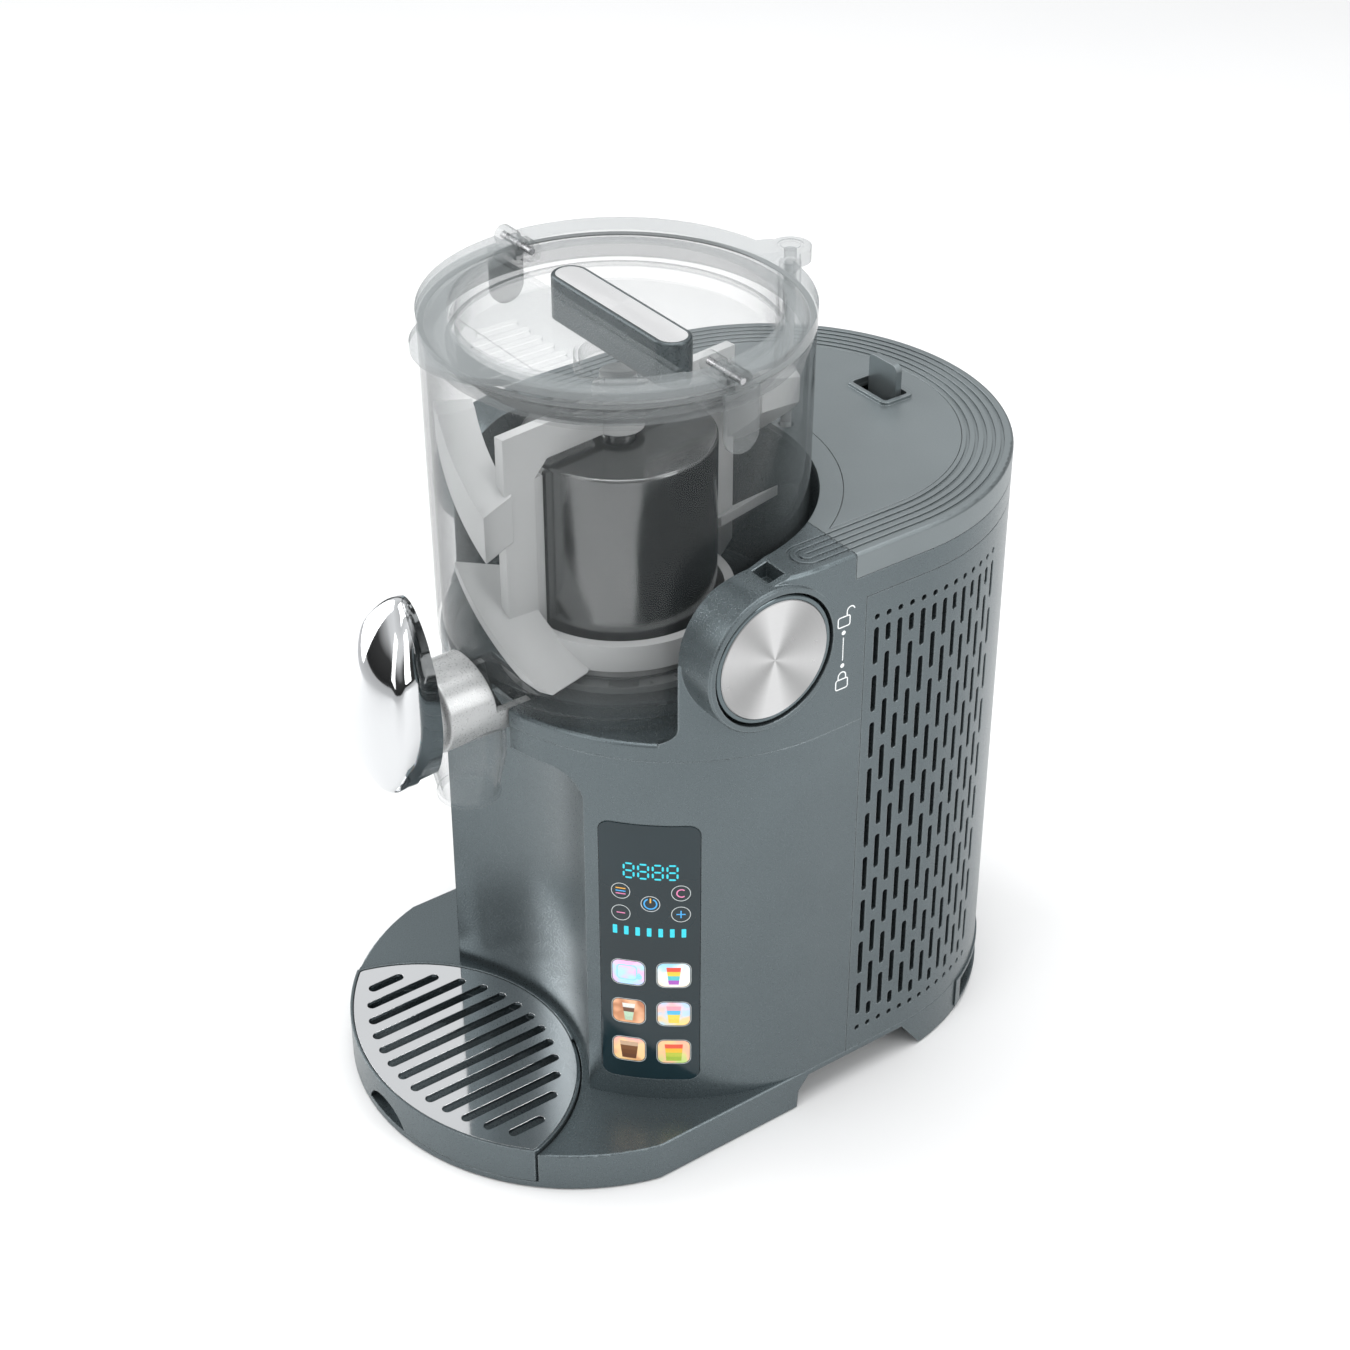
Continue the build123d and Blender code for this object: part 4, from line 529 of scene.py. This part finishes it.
def panel_marks():
    """Digits, level bars and the five round symbols."""
    cyan = lit("display_cyan", (0.03, 0.55, 0.66), 0.5)
    white = lit("print_white", (0.62, 0.66, 0.66), 0.1)
    pink = lit("print_pink", (0.75, 0.22, 0.42), 0.3)
    blue = lit("print_blue", (0.05, 0.36, 0.75), 0.4)
    amber = lit("print_amber", (0.85, 0.42, 0.06), 0.3)
    digits = []
    for i in range(4):
        digits += digit(DIGIT_START + DIGIT_PITCH * i, DIGIT_V, DIGIT_HALF_W, DIGIT_HALF_H, SEGMENT_W)
    on_glass("display_digits", digits, cyan)
    level = [rounded(LEVEL_W, LEVEL_H, 0.3, LEVEL_START + LEVEL_PITCH * i, LEVEL_V, 3) for i in range(7)]
    on_glass("level_bars", level, cyan)
    for name, (u, v) in ICON_SPOTS.items():
        on_glass("ring_" + name, stroke(arc(ICON_R, 0, 360, u, v, 40)[:-1], ICON_RING_W, True), white)
    u, v = ICON_SPOTS["menu"]
    for rise, material, word in ((1.4, amber, "top"), (0.0, blue, "middle"), (-1.4, pink, "low")):
        line = [(u - 2.1, v + rise), (u + 2.1, v + rise)]
        on_glass("menu_line_" + word, stroke(line, ICON_LINE_W), material)
    u, v = ICON_SPOTS["unit"]
    on_glass("unit_mark", stroke(arc(1.9, 50, 310, u + 0.2, v), 0.55), pink)
    u, v = ICON_SPOTS["power"]
    on_glass("power_arc", stroke(arc(2.6, 115, 425, u, v), 0.6), blue)
    on_glass("power_stem", stroke([(u, v + 0.5), (u, v + 2.9)], 0.6), amber)
    u, v = ICON_SPOTS["minus"]
    on_glass("minus_mark", stroke([(u - 1.8, v), (u + 1.8, v)], ICON_LINE_W), pink)
    u, v = ICON_SPOTS["plus"]
    reach, gap = 1.9, ICON_LINE_W / 2
    plus = stroke([(u - reach, v), (u - gap, v)], ICON_LINE_W)
    plus += stroke([(u + gap, v), (u + reach, v)], ICON_LINE_W)
    plus += stroke([(u, v - reach), (u, v + reach)], ICON_LINE_W)
    on_glass("plus_mark", plus, blue)
    return white


# Lower, upper and blotch colour behind each picture, then the bands of its cup from the foot up,
# and the cup's half width at the foot and at the lip.
PICTURES = {
    "rinse": ((0.62, 0.50, 0.80), (0.85, 0.45, 0.70), (0.35, 0.70, 0.90)),
    "spirit": ((0.80, 0.66, 0.50), (0.30, 0.62, 0.86), (0.86, 0.86, 0.84)),
    "shake": ((0.55, 0.25, 0.12), (0.42, 0.16, 0.08), (0.86, 0.50, 0.30)),
    "slush": ((0.86, 0.60, 0.20), (0.86, 0.46, 0.52), (0.35, 0.62, 0.84)),
    "coffee": ((0.62, 0.34, 0.14), (0.86, 0.42, 0.40), (0.86, 0.62, 0.30)),
    "juice": ((0.45, 0.60, 0.20), (0.86, 0.55, 0.25), (0.86, 0.40, 0.30)),
}
CUPS = {
    "spirit": ((0.40, 0.10, 0.50), (0.10, 0.55, 0.60), (0.86, 0.60, 0.06), (0.80, 0.08, 0.05)),
    "shake": ((0.46, 0.62, 0.46), (0.50, 0.68, 0.50), (0.16, 0.07, 0.04), (0.80, 0.80, 0.76)),
    "slush": ((0.88, 0.62, 0.08), (0.88, 0.66, 0.10), (0.10, 0.50, 0.80), (0.86, 0.36, 0.44)),
    "coffee": ((0.13, 0.05, 0.02), (0.16, 0.06, 0.02), (0.20, 0.08, 0.03), (0.62, 0.42, 0.28)),
    "juice": ((0.35, 0.50, 0.05), (0.50, 0.56, 0.06), (0.88, 0.50, 0.04), (0.78, 0.10, 0.05)),
}
CUP_SHAPE = {"spirit": (2.1, 3.1), "shake": (1.6, 2.8), "slush": (2.2, 3.1), "coffee": (3.0, 4.1),
             "juice": (3.2, 3.9)}


def picture_buttons(white):
    """Six picture buttons, with a plain cup or a drop on each."""
    for index, name in enumerate(PICTURES):
        u = PICTURE_COLUMNS[index % 2]
        v = PICTURE_ROWS[index // 2]
        backdrop = picture("picture_" + name, *PICTURES[name])
        on_glass("button_" + name, [rounded(PICTURE_W, PICTURE_H, PICTURE_ROUND, u, v)], backdrop)
        rim = rounded(PICTURE_W + PICTURE_RIM, PICTURE_H + PICTURE_RIM, PICTURE_ROUND + 0.4, u, v)
        on_glass("button_rim_" + name, stroke(rim, 0.22, True), white)
        if name in CUPS:
            cup(name, u, v)
        else:
            tile_and_drop(name, u, v)


def tile_and_drop(name, u, v):
    """The outline of a rounded tile, and a drop beside it."""
    pale_blue = lit(name + "_tile", (0.30, 0.68, 0.86), 0.3)
    tile = rounded(8.4, 7.6, 1.8, u - 0.6, v)
    on_glass(name + "_frame", stroke(tile, 0.6, True), pale_blue, thick=0.1)
    drop_u = u + 4.6
    drop = [(drop_u, v + 0.4)] + arc(1.3, 20, -200, drop_u, v - 2.0, 14)
    on_glass(name + "_drop", [drop], pale_blue, thick=0.12)


def cup(name, u, v):
    """A tapered cup in bands of colour."""
    foot_w, lip_w = CUP_SHAPE[name]
    bands = len(CUPS[name])

    def edge(level):
        share = level / bands
        return foot_w + (lip_w - foot_w) * share, v + CUP_FOOT + (CUP_LIP - CUP_FOOT) * share

    for band, color in enumerate(CUPS[name]):
        low_w, low_v = edge(band)
        high_w, high_v = edge(band + 1)
        quad = [(u - low_w, low_v), (u + low_w, low_v), (u + high_w, high_v), (u - high_w, high_v)]
        on_glass(f"cup_{name}_{band}", [quad], lit(f"cup_{name}_{band}", color, 0.25), thick=0.1)


# Heights of the lock markings above the floor, and their place behind the bowl's axis.
LOCK_U = 36.8
OPEN_LOCK_V = 248.6
OPEN_DOT_V = 243.4
CLOSED_DOT_V = 228.0
CLOSED_LOCK_V = 219.2
LOCK_LINE_W = 0.55
LOCK_CASE_W = 6.0
LOCK_CASE_H = 4.6
LOCK_DOT_R = 1.0
TRAVEL_LINE_W = 0.45
SHACKLE_R = 1.9
SHACKLE_FOOT = 2.6                          # from the middle of a padlock's case


def padlock_case(v):
    return stroke(rounded(LOCK_CASE_W, LOCK_CASE_H, 0.9, LOCK_U, v, 4), LOCK_LINE_W, True)


def padlock_dot(v):
    return arc(LOCK_DOT_R, 0, 345, LOCK_U, v, 23)


def lock_marks():
    """Open padlock, travel line and closed padlock beside each lock knob."""
    # The white print is made to glow faintly, which is painted light: it is print, not a lamp.
    white = lit("side_print_glowing_white", (0.86, 0.88, 0.88), 0.2)
    u = LOCK_U
    open_foot = OPEN_LOCK_V + SHACKLE_FOOT
    open_bow = [(u + 1.4, open_foot)] + arc(SHACKLE_R, 180, 10, u + 3.3, open_foot + 1.6, 12)
    shut_foot = CLOSED_LOCK_V + SHACKLE_FOOT
    shut_bow = [(u - SHACKLE_R, shut_foot)] + arc(SHACKLE_R, 180, 0, u, shut_foot + 1.2, 12)
    shut_bow.append((u + SHACKLE_R, shut_foot))
    marks = {
        "open": padlock_case(OPEN_LOCK_V) + stroke(open_bow, LOCK_LINE_W),
        "dots": [padlock_dot(OPEN_DOT_V), padlock_dot(CLOSED_DOT_V)],
        "line": stroke([(u, OPEN_DOT_V - 2.2), (u, CLOSED_DOT_V + 2.4)], TRAVEL_LINE_W),
        "closed": padlock_case(CLOSED_LOCK_V) + stroke(shut_bow, LOCK_LINE_W),
    }
    for side, word in ((1, "right"), (-1, "left")):
        place = on_side(side)
        for name, faces in marks.items():
            decal(f"lock_mark_{name}_{word}", faces, place, white, "machine", "housing", step=50.0)


# ---------------------------------------------------------------- chrome lever

# Outline of the lever's right half, as shares of its half width and of its reach up or down.
LEVER_UPPER = ((1.0, 0.0), (0.905, 0.39), (0.778, 0.58), (0.58, 0.78), (0.28, 0.95), (0.0, 1.0))
LEVER_LOWER = ((1.0, 0.0), (0.917, 0.4), (0.714, 0.7), (0.436, 0.9), (0.0, 1.0))
LEVER_UP = 50.5                             # reach above and below the widest part
LEVER_DOWN = 35.0
LEVER_TALL_R = 72.0                         # bulge of the front, seen from the side
LEVER_ACROSS_R = 37.0                       # and seen from above
LEVER_WALL = 2.4
LEVER_TIP_WALL = 1.4                        # wall at the upper end, as a share of the wall elsewhere
LEVER_LEAST = 0.5                           # least depth from the rim's front to the back
CURVE_STEPS = 8                             # points along the outline for each one given
RING_CROWDING = 1.6                         # above 1, the rings stand closer towards the rim
LEVER_ROUND = 2.2                           # rounding of the ridge between front and sides
LEVER_RINGS = 26
RELIEF_HALF_W = 17.0                        # cut-out at the foot, where the barrel's neck passes
RELIEF_TOP = -21.0
RELIEF_DEPTH = 8.0
RELIEF_LEAST = 0.2                          # least depth left at the cut-out


def smooth_curve(points, steps, first, last):
    """Points along a cubic curve through the given ones, with the given end slopes."""
    between = [tuple((c - a) / 2 for a, c in zip(p, q)) for p, q in zip(points, points[2:])]
    slopes = [first] + between + [last]
    result = []
    for p, q, m, n in zip(points, points[1:], slopes, slopes[1:]):
        for i in range(steps):
            t = i / steps
            rise = 3 * t * t - 2 * t ** 3
            weights = (2 * t ** 3 - 3 * t * t + 1, t ** 3 - 2 * t * t + t, rise, t ** 3 - t * t)
            result.append(tuple(sum(w * v for w, v in zip(weights, values)) for values in zip(p, m, q, n)))
    return result + [points[-1]]


class LeverForm:
    """The lever's surfaces, worked out from the box of its CAD node."""

    def __init__(self):
        self.low, self.high, _ = span("dispense_lever")
        self.middle = self.low.z + LEVER_DOWN
        upper = smooth_curve(LEVER_UPPER, CURVE_STEPS, (0.0, 0.4), (-0.30, 0.0))
        lower = smooth_curve(LEVER_LOWER, CURVE_STEPS, (0.0, 0.4), (-0.42, 0.0))
        right = [(x, z * LEVER_UP) for x, z in upper[::-1]] + [(x, -z * LEVER_DOWN) for x, z in lower[1:]]
        self.outline = right + [(-x, z) for x, z in right[-2:0:-1]]

    def ring(self, share, inset):
        """Outline scaled towards its middle, set in by inset. Points are x and z about the middle."""
        half = self.high.x
        up = 1 - LEVER_TIP_WALL * inset / LEVER_UP
        down = 1 - inset / LEVER_DOWN
        return [(share * x * (half - inset), share * z * (up if z > 0 else down)) for x, z in self.outline]

    def front(self, x, rise, inset):
        """Bulging front: a circle across, swept along a larger circle upwards."""
        across = sqrt(max((LEVER_ACROSS_R - inset) ** 2 - x * x, 0.0))
        reach = LEVER_TALL_R - LEVER_ACROSS_R + across
        return self.low.y + LEVER_TALL_R - sqrt(max(reach * reach - rise * rise, 0.0))

    def skin(self, bm, inset):
        """Rings from the rim to the middle of the front, rounded over at the rim."""
        rings = []
        for i in range(LEVER_RINGS):
            share = 1 - (i / LEVER_RINGS) ** RING_CROWDING
            near = max(0.0, 1 - (1 - share) * self.high.x / LEVER_ROUND)
            drop = LEVER_ROUND * (1 - sqrt(max(0.0, 1 - near * near)))
            ring = []
            for x, rise in self.ring(share, inset):
                y = min(self.front(x, rise, inset) + drop, self.high.y - LEVER_LEAST)
                ring.append(bm.verts.new((x * MM, y * MM, (self.middle + rise) * MM)))
            rings.append(ring)
        centre = bm.verts.new((0.0, self.front(0.0, 0.0, inset) * MM, self.middle * MM))
        return rings, centre


def ring_faces(bm, rings, flip=False):
    for outer, inner in zip(rings, rings[1:]):
        for a, b, c, d in zip(outer, outer[1:] + outer[:1], inner[1:] + inner[:1], inner):
            corners = [a, b, c, d]
            bm.faces.new(corners[::-1] if flip else corners)


def lever_shell(chrome):
    """The hollow chrome lever, as one closed skin."""
    form = LeverForm()
    bm = bmesh.new()
    backs = []
    for inset in (0.0, LEVER_WALL):
        rings, centre = form.skin(bm, inset)
        ring_faces(bm, rings, inset > 0)
        for a, b in zip(rings[-1], rings[-1][1:] + rings[-1][:1]):
            bm.faces.new((b, a, centre) if inset > 0 else (a, b, centre))
        back = []
        for vert in rings[0]:
            rise = vert.co.z / MM - form.middle
            relieved = rise < RELIEF_TOP and abs(vert.co.x) < RELIEF_HALF_W * MM
            y = (form.high.y - (RELIEF_DEPTH if relieved else 0.0)) * MM
            y = max(y, vert.co.y + RELIEF_LEAST * MM)
            back.append(bm.verts.new((vert.co.x, y, vert.co.z)))
        ring_faces(bm, [back, rings[0]], inset > 0)
        backs.append(back)
    ring_faces(bm, backs[::-1])
    made = piece("lever_shell", bm, chrome, "lever")
    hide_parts("dispense_lever")


# ---------------------------------------------------------------- stage

CAMERA_AT = (765.13, -531.73, 806.03)       # from the foot of the bowl's axis
CAMERA_TURN = (56.27, 0.0, 53.82)           # degrees
LENS = 70.45
SENSOR = 36.0
NEAREST = 0.05                              # metres from the camera


def lamp(name, place, size, power, turn):
    """Rectangular soft light: place and size in metres, power in watts, turn in degrees."""
    data = bpy.data.lights.new(name, "AREA")
    data.shape = "RECTANGLE"
    data.size, data.size_y = size
    data.energy = power
    made = bpy.data.objects.new(name, data)
    made.location = place
    made.rotation_euler = [radians(a) for a in turn]
    bpy.context.scene.collection.objects.link(made)


def sky():
    """Pale surroundings, with a dark band at the horizon that the metal reflects."""
    world = bpy.data.worlds.new("studio")
    bpy.context.scene.world = world
    world.use_nodes = True
    tree = world.node_tree
    background = tree.nodes["Background"]
    coords = tree.nodes.new("ShaderNodeTexCoord")
    split = tree.nodes.new("ShaderNodeSeparateXYZ")
    tree.links.new(coords.outputs["Generated"], split.inputs[0])
    ramp = tree.nodes.new("ShaderNodeValToRGB")
    stops = ramp.color_ramp.elements
    stops[0].position, stops[0].color = 0.0, (0.55, 0.56, 0.57, 1)
    stops[1].position, stops[1].color = 1.0, (0.80, 0.81, 0.82, 1)
    for position, tone in ((0.50, 0.04), (0.60, 0.08), (0.70, 1.15), (0.82, 1.30)):
        stop = stops.new(position)
        stop.color = (tone, tone * 1.01, tone * 1.02, 1)
    height = ranged(tree, split.outputs["Z"], 0.0, 1.0, -1.0, 1.0)
    tree.links.new(height, ramp.inputs["Fac"])
    tree.links.new(ramp.outputs["Color"], background.inputs["Color"])
    background.inputs["Strength"].default_value = 0.75


def lights():
    lamp("softbox_top", (0.1, 0.1, 1.7), (1.5, 1.5), 22.0, (0, 0, 0))
    lamp("softbox_left", (-1.3, -0.7, 0.8), (1.0, 1.4), 17.0, (90, 0, -61))
    lamp("softbox_front", (0.35, -1.7, 0.9), (0.7, 1.2), 6.0, (75, 0, 12))
    lamp("softbox_right", (1.6, 0.6, 0.9), (0.6, 1.2), 9.0, (75, 0, 112))


def pale_floor():
    mesh = bpy.data.meshes.new("floor")
    far = 6.0                               # metres from the middle to each side
    mesh.from_pydata([(-far, -far, 0), (far, -far, 0), (far, far, 0), (-far, far, 0)], [], [(0, 1, 2, 3)])
    floor = bpy.data.objects.new("floor", mesh)
    bpy.context.scene.collection.objects.link(floor)
    material, tree, shader = blank("pale_floor")
    shader.inputs["Roughness"].default_value = 0.7
    soft = noise(tree, 3.0)
    tree.links.new(mixed(tree, ranged(tree, soft, 0.0, 1.0), (0.80, 0.80, 0.80), (0.82, 0.82, 0.82)),
                   shader.inputs["Base Color"])
    mesh.materials.append(material)


def camera():
    data = bpy.data.cameras.new("camera")
    data.lens = LENS
    data.sensor_width = SENSOR
    data.clip_start = NEAREST
    made = bpy.data.objects.new("camera", data)
    x, y, z = CAMERA_AT
    made.location = (x * MM, (y + AXIS_Y) * MM, z * MM)
    made.rotation_euler = [radians(a) for a in CAMERA_TURN]
    bpy.context.scene.collection.objects.link(made)
    bpy.context.scene.camera = made


camera()
sky()
lights()
pale_floor()
dress_housing()
dress_bowl()
dress_inside()
lever_shell(dress_bright_metal())
picture_buttons(panel_marks())
lock_marks()
bpy.context.scene.view_settings.view_transform = "Standard"
